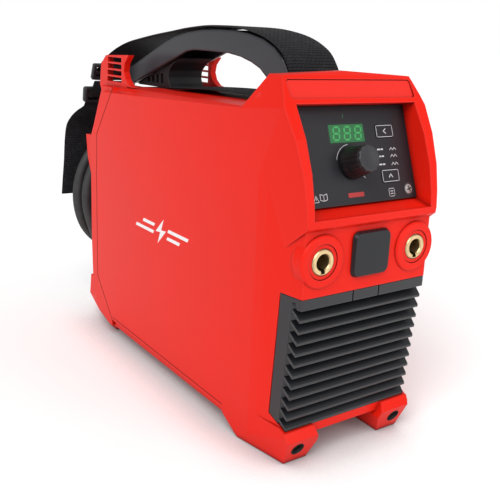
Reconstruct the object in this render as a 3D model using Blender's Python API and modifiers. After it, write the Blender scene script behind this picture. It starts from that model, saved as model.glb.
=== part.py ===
"""Portable inverter welding power source with carrying handle, strap and coiled mains cable.

Units are metres and +Z is up. The front with the sockets faces -Y. Lengths below are written
in millimetres and scaled once, when a mesh is stored. Lengths along Y are counted from the
front of the chin under the control panel.
"""

import math

import bmesh
import bpy
from mathutils import Matrix, Vector

MM = 0.001

# Overall size
HALF_WIDTH = 65.0
BODY_CENTRE_Y = 193.8
WALL = 3.0
GAP = 0.3

# Side outline of the housing
VALLEY_Y = 75.0
DECK_FRONT_Z = 251.0
SEAM_TOP_Y = 286.6
DECK_REAR_Z = 247.0
BOTTOM_Z = 14.3

# Control panel, which leans back in its recess
PANEL_TILT = math.radians(-20.0)
PANEL_CENTRE = (0.0, 26.95, 221.6)
PANEL_WIDTH = 108.6
PANEL_HEIGHT = 69.0
PANEL_THICKNESS = 2.0
KNOB_X = -4.5
KNOB_W = -6.0
KNOB_HEIGHT = 19.0
KNOB_RADIUS = 11.6
KEYS = (("process_key", 31.2, 15.3), ("mode_key", 30.8, -17.2))
SCREW_X = 47.4
SCREW_W = -28.0

# Sockets
SOCKET_X = 43.6
SOCKET_Z = 155.4
SOCKET_FACE_Y = 2.0
SOCKET_BORE_R = 5.6
SOCKET_BORE_DEPTH = 24.0
FOOT_HOLE_R = 5.6

# Front grille
BLADE_COUNT = 11
BLADE_PITCH = 8.5
BLADE_TOP_Z = 114.2

# Rear
REAR_FACE_Y = 355.0
FAN_Z = 92.0
SWITCH_X = 29.0
SWITCH_Z = 166.0
GLAND_X = -42.0
GLAND_Z = 171.0
GLAND_FOOT_Z = 160.0

# Mains cable
CABLE_R = 5.5
CABLE_OUT_Y = 363.6
COIL_R = 71.0
COIL_X = 16.0
COIL_Y = 389.5
COIL_Z = 124.0
COIL_HALF_BAND = 11.2
COIL_HALF_DEPTH = 16.6
LEAD_DROP = 22.0
LEAD_BEND_R = 52.0
LEAD_BEND_X = 10.0
LEAD_BEND_Z = 106.0
LEAD_RUN = 87.0
TAIL_BEND_R = 45.0
TAIL_BEND_X = -1.5
TAIL_BEND_Z = 134.1
PLUG_TURN = 285.0
PLUG_ANGLE = math.radians(15.0)

RED = (0.62, 0.022, 0.012, 1.0)
DARK = (0.022, 0.023, 0.026, 1.0)
PANEL_GREY = (0.045, 0.045, 0.052, 1.0)
HANDLE_GREY = (0.042, 0.045, 0.055, 1.0)
BLACK = (0.012, 0.012, 0.013, 1.0)
BRASS = (0.72, 0.50, 0.20, 1.0)
STEEL = (0.62, 0.62, 0.63, 1.0)
COPPER = (0.72, 0.28, 0.14, 1.0)
ALUMINIUM = (0.72, 0.73, 0.74, 1.0)
GREEN = (0.02, 0.16, 0.04, 1.0)
BOARD_GREEN = (0.02, 0.12, 0.05, 1.0)


def clear_scene():
    """Starts from an empty scene."""
    for item in list(bpy.data.objects):
        bpy.data.objects.remove(item, do_unlink=True)


def new_collection(name):
    """A collection linked to the scene."""
    collection = bpy.data.collections.new(name)
    bpy.context.scene.collection.children.link(collection)
    return collection


clear_scene()
PARTS = new_collection("welding_power_source")
CUTTERS = new_collection("cutters")
CUTTERS.hide_render = True
BODY = bpy.data.objects.new("power_source_origin", None)
BODY.location = (0.0, -BODY_CENTRE_Y * MM, 0.0)
PARTS.objects.link(BODY)


def material(name, colour, metallic, roughness):
    """A plain Principled material."""
    made = bpy.data.materials.new(name)
    made.use_nodes = True
    shader = made.node_tree.nodes["Principled BSDF"]
    shader.inputs["Base Color"].default_value = colour
    shader.inputs["Metallic"].default_value = metallic
    shader.inputs["Roughness"].default_value = roughness
    made.diffuse_color = colour
    return made


def plastic(name, colour):
    """Moulded plastic."""
    return material(name, colour, 0.0, 0.38)


def soft(name, colour):
    """Rubber, cloth or cable sheath."""
    return material(name, colour, 0.0, 0.75)


def metal(name, colour):
    """Bare metal."""
    return material(name, colour, 1.0, 0.3)


def place(obj, origin, turn):
    """Parents an object to the machine, turned by a lean about X or by three angles."""
    obj.parent = BODY
    obj.location = Vector(origin) * MM
    obj.rotation_euler = (turn, 0.0, 0.0) if isinstance(turn, float) else turn


def store(name, bm, finish, origin=(0.0, 0.0, 0.0), tilt=0.0):
    """Turns a bmesh in millimetres about its own origin into a part, or a cutter without finish."""
    bmesh.ops.remove_doubles(bm, verts=bm.verts[:], dist=0.0005)
    bmesh.ops.recalc_face_normals(bm, faces=bm.faces[:])
    bmesh.ops.scale(bm, vec=(MM, MM, MM), verts=bm.verts[:])
    mesh = bpy.data.meshes.new(name)
    bm.to_mesh(mesh)
    bm.free()
    obj = bpy.data.objects.new(name, mesh)
    if finish is None:
        CUTTERS.objects.link(obj)
        obj.hide_render = True
        obj.display_type = "WIRE"
    else:
        PARTS.objects.link(obj)
        mesh.materials.append(finish)
    place(obj, origin, tilt)
    return obj


def smooth(obj, angle=35.0):
    """Shades a round part smooth between its sharp edges."""
    mesh = obj.data
    mesh.polygons.foreach_set("use_smooth", [True] * len(mesh.polygons))
    mesh.set_sharp_from_angle(angle=math.radians(angle))


def combine(obj, other, operation):
    """Adds an exact Boolean modifier."""
    modifier = obj.modifiers.new(other.name, "BOOLEAN")
    modifier.operation = operation
    modifier.solver = "EXACT"
    modifier.object = other


def cut(obj, *others):
    """Takes cutters away from a part."""
    for other in others:
        combine(obj, other, "DIFFERENCE")


def join(obj, *others):
    """Adds helper solids to a part."""
    for other in others:
        combine(obj, other, "UNION")


def filled_outline(points, depth):
    """A bmesh prism from a closed 2D outline, centred on its plane and depth long."""
    curve = bpy.data.curves.new("outline", "CURVE")
    curve.dimensions = "2D"
    curve.fill_mode = "BOTH"
    curve.extrude = depth / 2.0
    spline = curve.splines.new("POLY")
    spline.points.add(len(points) - 1)
    for point, place_at in zip(spline.points, points):
        point.co = (place_at[0], place_at[1], 0.0, 1.0)
    spline.use_cyclic_u = True
    holder = bpy.data.objects.new("outline", curve)
    bpy.context.scene.collection.objects.link(holder)
    graph = bpy.context.evaluated_depsgraph_get()
    mesh = bpy.data.meshes.new_from_object(holder.evaluated_get(graph))
    bm = bmesh.new()
    bm.from_mesh(mesh)
    bpy.data.objects.remove(holder, do_unlink=True)
    bpy.data.curves.remove(curve)
    bpy.data.meshes.remove(mesh)
    bmesh.ops.remove_doubles(bm, verts=bm.verts[:], dist=0.0005)
    bmesh.ops.dissolve_limit(bm, angle_limit=0.001, verts=bm.verts[:], edges=bm.edges[:])
    return bm


def side_prism(outline, x_low, x_high):
    """A prism whose outline is given as (y, z) and that runs along X."""
    bm = filled_outline(outline, x_high - x_low)
    turn = Matrix(((0, 0, 1), (1, 0, 0), (0, 1, 0))).to_4x4()
    bmesh.ops.transform(bm, matrix=turn, verts=bm.verts[:])
    bmesh.ops.translate(bm, vec=((x_low + x_high) / 2.0, 0.0, 0.0), verts=bm.verts[:])
    return bm


def front_prism(outline, y_low, y_high):
    """A prism whose outline is given as (x, z) and that runs along Y."""
    bm = filled_outline(outline, y_high - y_low)
    turn = Matrix(((1, 0, 0), (0, 0, -1), (0, 1, 0))).to_4x4()
    bmesh.ops.transform(bm, matrix=turn, verts=bm.verts[:])
    bmesh.ops.translate(bm, vec=(0.0, (y_low + y_high) / 2.0, 0.0), verts=bm.verts[:])
    return bm


def box(x0, x1, y0, y1, z0, z1):
    """A bmesh box between two corners."""
    bm = bmesh.new()
    add_box(bm, x0, x1, y0, y1, z0, z1)
    return bm


def add_box(bm, x0, x1, y0, y1, z0, z1):
    """Adds a box between two corners to a bmesh."""
    made = bmesh.ops.create_cube(bm, size=1.0)["verts"]
    bmesh.ops.scale(bm, vec=(x1 - x0, y1 - y0, z1 - z0), verts=made)
    bmesh.ops.translate(bm, vec=((x0 + x1) / 2, (y0 + y1) / 2, (z0 + z1) / 2), verts=made)


def rounded_rectangle(width, height, radius, steps=4):
    """Corner points of a rectangle with round corners, centred on zero."""
    points = []
    for corner in range(4):
        centre_x = (width / 2 - radius) * (1 if corner in (0, 3) else -1)
        centre_z = (height / 2 - radius) * (1 if corner in (0, 1) else -1)
        for step in range(steps + 1):
            angle = math.pi / 2 * (corner + step / steps)
            points.append((centre_x + radius * math.cos(angle), centre_z + radius * math.sin(angle)))
    return points


def chamfer_all(bm, width):
    """Breaks every edge of a bmesh that turns by more than 30 degrees."""
    edges = [edge for edge in bm.edges if edge.calc_face_angle(0.0) > 0.5]
    bmesh.ops.bevel(bm, geom=edges, offset=width, segments=1, affect="EDGES", clamp_overlap=True)


def cylinder(radius, y0, y1, sides=32):
    """A cylinder along Y between two depths, centred on X and Z zero."""
    bm = bmesh.new()
    bmesh.ops.create_cone(
        bm, cap_ends=True, segments=sides, radius1=radius, radius2=radius, depth=y1 - y0
    )
    bmesh.ops.rotate(bm, matrix=Matrix.Rotation(-math.pi / 2, 3, "X"), verts=bm.verts[:])
    bmesh.ops.translate(bm, vec=(0.0, (y0 + y1) / 2, 0.0), verts=bm.verts[:])
    return bm


def shift(bm, x=0.0, y=0.0, z=0.0):
    """Moves a bmesh."""
    bmesh.ops.translate(bm, vec=(x, y, z), verts=bm.verts[:])
    return bm


def turned(name, profile, finish, origin, tilt=0.0, steps=32):
    """A round part from (radius, y) points, with its axis along Y through its origin."""
    mesh = bpy.data.meshes.new(name)
    ring = zip(profile, profile[1:] + profile[:1])
    if sum(a[0] * b[1] - b[0] * a[1] for a, b in ring) > 0.0:
        profile = profile[::-1]
    edges = [(i, i + 1) for i in range(len(profile) - 1)]
    points = [(radius * MM, depth * MM, 0.0) for radius, depth in profile]
    mesh.from_pydata(points, edges, [])
    obj = bpy.data.objects.new(name, mesh)
    (CUTTERS if finish is None else PARTS).objects.link(obj)
    if finish is None:
        obj.hide_render = True
        obj.display_type = "WIRE"
    else:
        mesh.materials.append(finish)
    screw = obj.modifiers.new("turn", "SCREW")
    screw.axis = "Y"
    screw.steps = steps
    screw.render_steps = steps
    screw.use_merge_vertices = True
    screw.merge_threshold = 0.00001
    screw.use_smooth_shade = True
    place(obj, origin, tilt)
    return obj


def slice_off(bm, point, normal):
    """Removes what lies beyond a plane and closes the cut."""
    geometry = bm.verts[:] + bm.edges[:] + bm.faces[:]
    done = bmesh.ops.bisect_plane(
        bm, geom=geometry, plane_co=point, plane_no=normal, clear_outer=True, dist=0.0001
    )
    edges = [item for item in done["geom_cut"] if isinstance(item, bmesh.types.BMEdge)]
    if edges:
        bmesh.ops.holes_fill(bm, edges=edges, sides=0)


def slice_both(bm, point, normal):
    """Slices off the same plane on the right and on the left."""
    slice_off(bm, point, normal)
    slice_off(bm, (-point[0], point[1], point[2]), (-normal[0], normal[1], normal[2]))


def on_panel(x, w, out):
    """The machine point at x across, w up and out in front of the control panel."""
    leaning = Matrix.Rotation(PANEL_TILT, 3, "X") @ Vector((x, -out, w))
    return leaning + Vector(PANEL_CENTRE)


# Planes that give the housing its facets: a point and an outward normal on the right side.
HOOD_FACET = ((65.0, 28.3, 254.4), (1.0, -0.0767, -0.0359))
HOOD_SHOULDER = ((65.0, 73.6, 250.1), (1.0, 0.0292, 0.3075))
HOOD_CROWN = ((0.0, 45.0, 277.4), (0.05, 0.0, 1.0))
CHEEK_REAR = ((65.0, 50.0, 100.0), (1.0, -0.092, 0.0))
CHEEK_FRONT = ((58.3, 3.7, 100.0), (1.0, -0.157, 0.0))
DECK_CHAMFER = ((65.0, 74.0, 250.1), (0.32, 0.0374, 1.0))
FOOT_FLARE = ((56.6, 15.0, 0.0), (1.0, -0.1725, -0.2373))
FOOT_INNER = ((33.0, 0.0, 9.5), (-1.0, 0.0, -0.35))

HOOD_OUTLINE = [
    (0.8, 179.5), (0.5, 184.0), (2.0, 195.5), (6.3, 214.5), (14.7, 235.7), (23.2, 250.0),
    (30.4, 262.0), (36.5, 271.0), (39.2, 274.6), (43.0, 277.4), (50.5, 277.4), (74.9, 250.6),
    (74.9, 148.0), (39.5, 148.0),
]
BODY_OUTLINE = [
    (12.4, 27.0), (3.7, 130.5), (4.4, 181.0), (60.0, 240.0), (VALLEY_Y, DECK_FRONT_Z),
    (SEAM_TOP_Y, DECK_REAR_Z), (325.2, 199.8), (327.2, 155.0), (328.4, 53.8),
    (293.4, 16.0), (200.0, 15.2), (84.0, BOTTOM_Z), (62.0, 20.5), (13.2, 20.5),
]
CAVITY_OUTLINE = [
    (16.0, 24.0), (8.5, 126.0), (8.5, 174.0), (45.0, 247.5), (58.0, 262.0), (70.0, 248.0),
    (SEAM_TOP_Y - 3.0, 243.5), (340.0, 190.0), (340.0, 10.0), (86.5, 10.0), (86.5, 24.0),
]


def housing_blocks():
    """The outer solids of the housing before it is hollowed."""
    body = side_prism(BODY_OUTLINE, -HALF_WIDTH, HALF_WIDTH)
    slice_both(body, *CHEEK_REAR)
    slice_both(body, *CHEEK_FRONT)
    slice_both(body, *DECK_CHAMFER)
    hood = side_prism(HOOD_OUTLINE, -HALF_WIDTH, HALF_WIDTH)
    slice_both(hood, *HOOD_FACET)
    slice_both(hood, *HOOD_SHOULDER)
    slice_both(hood, *HOOD_CROWN)
    return body, hood


def front_foot(side):
    """One front foot: a wedge that flares outwards and has a hole in its sloping front."""
    outline = [(15.0, 0.0), (63.7, 0.0), (85.6, 11.0), (85.6, 18.0), (60.0, 30.0), (11.5, 30.0), (6.4, 21.0)]
    foot = side_prism(outline, 24.0, HALF_WIDTH)
    slice_off(foot, *FOOT_FLARE)
    slice_off(foot, *FOOT_INNER)
    slice_off(foot, (31.0, 0.0, 16.0), (-1.0, 0.0, 0.25))
    slice_off(foot, *CHEEK_REAR)
    slice_off(foot, (61.6, 7.0, 25.0), (1.0, -0.12, 0.0))
    if side < 0:
        bmesh.ops.scale(foot, vec=(-1.0, 1.0, 1.0), verts=foot.verts[:])
    return foot


def foot_hole(side):
    """The cutter for the hole in a front foot."""
    return store(
        "foot_hole_%s" % ("right" if side > 0 else "left"),
        cylinder(FOOT_HOLE_R, -8.0, 16.0, sides=24),
        None,
        origin=(side * 48.2, 10.4, 12.6),
        tilt=math.radians(22.5),
    )


def socket_collar(side):
    """The round raised collar moulded around a socket."""
    profile = [
        (0.0, SOCKET_FACE_Y), (17.6, SOCKET_FACE_Y), (18.8, 3.1), (19.2, 11.3),
        (16.5, 17.2), (10.0, 20.9), (0.0, 21.4),
    ]
    name = "collar_%s" % ("right" if side > 0 else "left")
    return turned(name, profile, None, (side * SOCKET_X, 0.0, SOCKET_Z), steps=36)


def panel_recess():
    """The cutter that sinks the control recess into the hood."""
    back = PANEL_THICKNESS + GAP
    low = on_panel(0.0, -PANEL_HEIGHT / 2 - GAP, -back)
    high = on_panel(0.0, PANEL_HEIGHT / 2 + GAP, -back)
    rim = on_panel(0.0, PANEL_HEIGHT / 2 + GAP, 0.8)
    outline = [
        (-30.0, 184.2), (4.0, 184.6), (low.y, low.z), (high.y, high.z), (rim.y, rim.z),
        (24.0, 257.4), (-30.0, 257.4),
    ]
    half = PANEL_WIDTH / 2 + GAP
    recess = side_prism(outline, -half, half)
    return store("panel_recess", recess, None)


def panel_window():
    """The opening behind the control panel for the board's parts."""
    opening = front_prism(rounded_rectangle(92.0, 50.0, 4.0), -3.0, 26.0)
    return store("panel_window", opening, None, origin=PANEL_CENTRE, tilt=PANEL_TILT)


def grille_opening():
    """The cutter for the front grille, which wraps round both front corners."""
    outline = [(-5.0, 27.8), (12.0, 27.8), (28.9, 36.8), (24.0, 130.5), (-5.0, 130.5)]
    return store("grille_opening", side_prism(outline, -80.0, 80.0), None)


def name_plate_pocket():
    """The shallow pocket for the name plate on the hood's front."""
    opening = front_prism(rounded_rectangle(114.0, 14.4, 2.5), -8.0, 1.0)
    return store("name_plate_pocket", opening, None, origin=(0.0, 34.1, 265.6), tilt=math.radians(-31.5))


def main_housing(finish):
    """The one-piece housing sleeve: both sides, deck, hood, socket face and front feet."""
    body, hood = housing_blocks()
    housing = store("main_housing", body, finish)
    join(housing, store("hood_block", hood, None))
    join(housing, store("foot_right", front_foot(1), None), store("foot_left", front_foot(-1), None))
    join(housing, socket_collar(1), socket_collar(-1))
    inner = side_prism(CAVITY_OUTLINE, -62.0, 62.0)
    slice_both(inner, (61.0, 50.0, 100.0), (1.0, -0.092, 0.0))
    slice_both(inner, (54.8, 3.7, 100.0), (1.0, -0.157, 0.0))
    slice_off(inner, on_panel(0.0, 0.0, -6.5), (0.0, -math.cos(PANEL_TILT), -math.sin(PANEL_TILT)))
    cut(housing, store("housing_cavity", inner, None))
    cut(housing, panel_recess(), panel_window(), grille_opening(), name_plate_pocket())
    cut(housing, foot_hole(1), foot_hole(-1))
    for side in (1, -1):
        hole = shift(cylinder(12.6, -5.0, 30.0, sides=40), side * SOCKET_X, 0.0, SOCKET_Z)
        cut(housing, store("socket_hole_%s" % ("right" if side > 0 else "left"), hole, None))
    cover_hole = front_prism(rounded_rectangle(27.0, 26.0, 3.0), -5.0, 12.0)
    cut(housing, store("cover_hole", shift(cover_hole, z=156.4), None))
    cut(housing, store("strap_slot", box(-26.0, 26.0, 68.0, 75.8, 238.0, 285.0), None))
    cut(housing, store("handle_slot_front", box(-22.5, 22.5, 75.9, 97.5, 238.0, 262.0), None))
    return housing


def base_plate(finish):
    """The bottom plate that closes the housing from below, with an upstanding rim."""
    plate = store("base_plate", box(-62.5, 62.5, 87.0, 291.5, 9.6, 13.9), finish)
    rim = box(-61.6, 61.6, 87.0, 289.0, 13.0, 24.0)
    join(plate, store("base_rim", rim, None))
    cut(plate, store("base_hollow", box(-58.6, 58.6, 90.0, 286.0, 12.6, 30.0), None))
    slots = bmesh.new()
    for row in range(9):
        for side in (-1, 1):
            y = 118.0 + row * 9.0
            add_box(slots, side * 28.0 - 18.0, side * 28.0 + 18.0, y, y + 4.0, 5.0, 20.0)
    cut(plate, store("base_slots", slots, None))
    return plate


def name_plate(finish):
    """The inlay strip along the top of the hood."""
    plate = front_prism(rounded_rectangle(113.2, 13.6, 2.2), -0.1, 0.75)
    return store("name_plate", plate, finish, origin=(0.0, 34.1, 265.6), tilt=math.radians(-31.5))


def grille_front_y(z):
    """How far back the blade tips are at a height."""
    return 3.9 + (130.5 - z) * 0.0805


def front_grille(finish):
    """The black front grille: a top band, angled blades with pointed ends and side walls."""
    outline = [(3.9, 122.4), (3.9, 130.1), (23.6, 130.1), (23.6, 127.0), (9.0, 127.0), (8.0, 122.4)]
    band = side_prism(outline, -64.0, 64.0)
    slice_both(band, (58.2, 3.7, 100.0), (1.0, -0.157, 0.0))
    grille = store("front_grille", band, finish)
    wall_outline = [(12.3, 129.0), (23.6, 129.0), (28.2, 37.6), (26.6, 36.2), (19.3, 32.3), (19.0, 34.0)]
    for side in (-1, 1):
        low, high = (54.2, 64.5) if side > 0 else (-64.5, -54.2)
        wall = side_prism(wall_outline, low, high)
        slice_off(wall, (side * 58.05, 3.7, 100.0), (side * 1.0, -0.157, 0.0))
        join(grille, store("grille_wall_%s" % ("right" if side > 0 else "left"), wall, None))
    for side in (-1, 1):
        outline = [(13.0, 128.5), (16.5, 128.5), (24.0, 35.0), (20.4, 33.0)]
        rib = side_prism(outline, side * 20 - 1.2, side * 20 + 1.2)
        join(grille, store("grille_rib_%s" % ("right" if side > 0 else "left"), rib, None))
    for index in range(BLADE_COUNT):
        z = BLADE_TOP_Z - index * BLADE_PITCH
        y = grille_front_y(z)
        outline = [(y, z - 1.0), (y, z + 0.9), (y + 9.0, z + 8.6), (y + 9.0, z + 6.2)]
        blade = side_prism(outline, -64.0, 64.0)
        slice_both(blade, (57.9, 3.7, 100.0), (1.0, -0.157, 0.0))
        join(grille, store("grille_blade_%d" % index, blade, None))
    slits = bmesh.new()
    for side in (-1, 1):
        add_box(slits, side * 12.3 - 0.6, side * 12.3 + 0.6, 0.0, 10.0, 121.0, 131.5)
    cut(grille, store("grille_slits", slits, None))
    return grille


def control_panel(finish):
    """The dark plate with its display window, key openings, knob hole and screw recess."""
    plate = front_prism(rounded_rectangle(PANEL_WIDTH - 0.2, PANEL_HEIGHT, 1.5, 2), 0.0, PANEL_THICKNESS)
    panel = store("control_panel", plate, finish, origin=PANEL_CENTRE, tilt=PANEL_TILT)
    window = front_prism(rounded_rectangle(32.6, 13.4, 0.8, 2), -5.0, 5.0)
    cut(panel, store("window_opening", shift(window, x=-4.6, z=15.1), None, PANEL_CENTRE, PANEL_TILT))
    knob = shift(cylinder(4.2, -5.0, 5.0, 24), x=KNOB_X, z=KNOB_W)
    cut(panel, store("knob_opening", knob, None, PANEL_CENTRE, PANEL_TILT))
    for name, x, w in KEYS:
        hole = front_prism(rounded_rectangle(17.8, 10.2, 1.4, 2), -5.0, 5.0)
        cut(panel, store(name + "_opening", shift(hole, x=x, z=w), None, PANEL_CENTRE, PANEL_TILT))
    screw = shift(cylinder(4.1, -5.0, 5.0, 24), x=SCREW_X, z=SCREW_W)
    cut(panel, store("screw_opening", screw, None, PANEL_CENTRE, PANEL_TILT))
    return panel


def panel_screw(finish):
    """The cross-recess screw that holds the control panel."""
    profile = [(0.0, 0.4), (2.6, 0.5), (3.5, 1.1), (3.5, 1.9), (0.0, 1.9)]
    origin = on_panel(SCREW_X, SCREW_W, 0.0)
    screw = turned("panel_screw", profile, finish, origin, PANEL_TILT, steps=24)
    cross = bmesh.new()
    add_box(cross, -1.9, 1.9, -1.0, 1.4, -0.45, 0.45)
    slot = box(-0.45, 0.45, -1.0, 1.4, -1.9, 1.9)
    cut(screw, store("screw_slot_across", cross, None, origin, PANEL_TILT))
    cut(screw, store("screw_slot_up", slot, None, origin, PANEL_TILT))
    return screw


def display_window(finish):
    """The clear window over the figures."""
    pane = front_prism(rounded_rectangle(32.0, 12.8, 0.6, 2), -0.05, 1.2)
    return store("display_window", pane, finish, on_panel(-4.6, 15.1, 0.0), PANEL_TILT)


def display_module(finish):
    """The three-figure display behind the window."""
    block = front_prism(rounded_rectangle(31.4, 12.2, 0.5, 1), 1.5, 6.3)
    return store("display_module", block, finish, on_panel(-4.6, 15.1, 0.0), PANEL_TILT)


def control_knob(finish):
    """The turning knob: a ribbed skirt that narrows to its front face."""
    sides = 24
    radii = [KNOB_RADIUS * (1.0 if step % 2 else 0.965) for step in range(sides)]
    outline = [
        (radius * math.cos(2 * math.pi * step / sides), radius * math.sin(2 * math.pi * step / sides))
        for step, radius in enumerate(radii)
    ]
    skirt = front_prism(outline, -KNOB_HEIGHT + 2.4, -0.4)
    for vert in skirt.verts:
        if vert.co.y < -5.0:
            vert.co.x *= 0.82
            vert.co.z *= 0.82
    knob = store("control_knob", skirt, finish, on_panel(KNOB_X, KNOB_W, 0.0), PANEL_TILT)
    bore = cylinder(3.3, -12.0, 2.0, 24)
    cut(knob, store("knob_bore", bore, None, on_panel(KNOB_X, KNOB_W, 0.0), PANEL_TILT))
    return knob


def knob_cap(finish):
    """The grey lobed cap on the knob's front."""
    sides = 48
    outline = []
    for step in range(sides):
        angle = 2 * math.pi * step / sides
        radius = 8.9 + 0.3 * math.cos(12 * angle)
        outline.append((radius * math.cos(angle), radius * math.sin(angle)))
    cap = front_prism(outline, -KNOB_HEIGHT, -KNOB_HEIGHT + 2.1)
    return store("knob_cap", cap, finish, on_panel(KNOB_X, KNOB_W, 0.0), PANEL_TILT)


def encoder(finish):
    """The rotary encoder behind the knob, with its shaft through the panel."""
    profile = [(0.0, -11.6), (3.0, -11.6), (3.0, 2.6), (6.0, 2.6), (6.0, 6.3), (0.0, 6.3)]
    return turned("encoder", profile, finish, on_panel(KNOB_X, KNOB_W, 0.0), PANEL_TILT, steps=24)


def panel_key(name, x, w, finish):
    """One flat key that moves in and out through the panel."""
    cap = front_prism(rounded_rectangle(17.2, 9.6, 1.1, 2), -0.5, 3.2)
    return store(name, cap, finish, on_panel(x, w, 0.0), PANEL_TILT)


def control_board(finish):
    """The circuit board behind the control panel."""
    board = box(-43.0, 43.0, 6.9, 8.5, -22.0, 22.0)
    return store("control_board", board, finish, on_panel(0.0, 0.0, 0.0), PANEL_TILT)


def socket_insulator(name, side, finish):
    """The insulating ring between a socket and the housing."""
    profile = [(9.6, 2.6), (12.2, 2.6), (12.2, 24.0), (9.6, 24.0), (9.6, 2.6)]
    return turned(name, profile, finish, (side * SOCKET_X, 0.0, SOCKET_Z), steps=40)


def current_socket(name, side, finish):
    """A brass bayonet socket with a keyed bore."""
    r = SOCKET_BORE_R
    profile = [
        (0.0, SOCKET_FACE_Y + SOCKET_BORE_DEPTH), (r, SOCKET_FACE_Y + SOCKET_BORE_DEPTH),
        (r, SOCKET_FACE_Y + 0.9), (r + 0.6, SOCKET_FACE_Y - 0.2), (8.6, SOCKET_FACE_Y - 0.2),
        (9.3, SOCKET_FACE_Y + 0.6), (9.3, 31.0), (5.0, 31.0), (5.0, 46.0), (0.0, 46.0),
    ]
    origin = (side * SOCKET_X, 0.0, SOCKET_Z)
    socket = turned(name, profile, finish, origin, steps=36)
    key = box(-1.7, 1.7, -2.0, 12.0, -8.0, -3.0)
    cut(socket, store(name + "_keyway", key, None, origin))
    return socket


def busbar(name, side, finish):
    """A bent copper bar from a socket stud back to the power board."""
    low = SOCKET_Z - 45.0
    outline = [
        (38.0, SOCKET_Z + 8.0), (41.0, SOCKET_Z + 8.0), (41.0, low + 3.0), (70.0, low + 3.0),
        (70.0, low), (38.0, low),
    ]
    bar = side_prism(outline, side * SOCKET_X - 8.0, side * SOCKET_X + 8.0)
    made = store(name, bar, finish)
    hole = shift(cylinder(5.3, 30.0, 50.0, 24), side * SOCKET_X, 0.0, SOCKET_Z)
    cut(made, store(name + "_hole", hole, None))
    return made


def blanking_cover(finish):
    """The rounded cover plugged into the unused opening between the sockets."""
    bm = front_prism(rounded_rectangle(34.0, 33.0, 5.0), 0.6, 3.6)
    front = [vert for vert in bm.verts if vert.co.y < 1.0]
    for vert in front:
        vert.co.x *= 0.93
        vert.co.z *= 0.93
    cover = store("blanking_cover", bm, finish, (0.0, 0.0, 156.4))
    plug = front_prism(rounded_rectangle(26.2, 25.2, 2.6), 3.0, 10.5)
    join(cover, store("cover_plug", plug, None, (0.0, 0.0, 156.4)))
    return cover


HANDLE_TOP = [
    (353.0, 258.2), (305.0, 275.8), (264.0, 290.6), (246.0, 295.6), (226.0, 299.2), (200.0, 301.6),
    (175.0, 302.2), (150.0, 301.6), (130.0, 299.6), (112.0, 296.0), (98.0, 290.4), (88.0, 283.4),
    (81.0, 274.0), (77.5, 263.0), (76.4, 250.0), (76.4, 243.6),
]
HANDLE_UNDER = [
    (97.0, 243.6), (97.0, 252.0), (100.0, 261.0), (106.5, 268.9), (115.5, 274.6), (127.0, 278.6),
    (142.0, 282.0), (160.0, 284.0), (190.0, 284.6), (214.0, 284.6), (227.0, 283.2), (338.0, 246.6),
    (349.5, 247.9),
]


def handle(finish):
    """The carrying handle, rising from the rear ears and curving down behind the hood."""
    bm = side_prism(HANDLE_TOP + HANDLE_UNDER, -22.0, 22.0)
    edges = []
    for edge in bm.edges:
        ends = [(vert.co.y, vert.co.z) for vert in edge.verts]
        on_top = [any(math.dist(end, corner) < 0.01 for corner in HANDLE_TOP[1:-3]) for end in ends]
        if all(on_top) and edge.calc_face_angle(0.0) > 1.0:
            edges.append(edge)
    bmesh.ops.bevel(bm, geom=edges, offset=3.0, segments=2, affect="EDGES", clamp_overlap=True)
    part = store("handle", bm, finish)
    smooth(part, 30.0)
    channel = [
        (345.0, 256.6), (303.6, 271.9), (262.6, 286.7), (244.8, 291.8), (225.0, 295.4), (199.6, 297.8),
        (175.0, 298.4), (150.4, 297.8), (131.0, 295.9), (113.4, 292.4), (106.0, 289.0), (103.0, 284.0),
        (104.0, 274.0), (115.5, 271.0), (140.0, 276.0), (190.0, 279.0), (227.0, 278.0),
        (338.0, 241.0), (345.0, 241.0),
    ]
    cut(part, store("handle_channel", side_prism(channel, -18.4, 18.4), None))
    return part


INSERT_OUTLINE = [
    (329.0, 247.5), (327.0, 249.4), (246.0, 276.2), (252.0, 273.8), (260.0, 269.6), (266.0, 264.5),
    (267.5, 258.0), (265.5, 252.5), (262.0, 248.2),
]


def handle_insert(finish):
    """The ribbed insert under the rear leg of the handle."""
    bm = side_prism(INSERT_OUTLINE, -18.0, 18.0)
    insert = store("handle_insert", bm, finish)
    grooves = bmesh.new()
    for row in range(4):
        y = 277.0 + row * 9.0
        for side in (-1, 1):
            add_box(grooves, side * 18 - 3.0, side * 18 + 3.0, y, y + 5.0, 251.5, 261.0 - row * 1.6)
    cut(insert, store("insert_grooves", grooves, None))
    return insert


def ribbon(path, thickness, width):
    """A closed band with square section along (x, y, z) points, its width along X."""
    points = [Vector(point) for point in path]
    bm = bmesh.new()
    rings = []
    for index, point in enumerate(points):
        before = points[max(index - 1, 0)]
        after = points[min(index + 1, len(points) - 1)]
        along = after - before
        along.x = 0.0
        along.normalize()
        normal = Vector((0.0, -along.z, along.y))
        low = point - normal * thickness / 2
        high = point + normal * thickness / 2
        edge = Vector((width / 2, 0.0, 0.0))
        ring = [low - edge, low + edge, high + edge, high - edge]
        rings.append([bm.verts.new(corner) for corner in ring])
    for first, second in zip(rings, rings[1:]):
        for side in range(4):
            follow = (side + 1) % 4
            bm.faces.new((first[side], first[follow], second[follow], second[side]))
    bm.faces.new(rings[0][::-1])
    bm.faces.new(rings[-1])
    return bm


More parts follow.
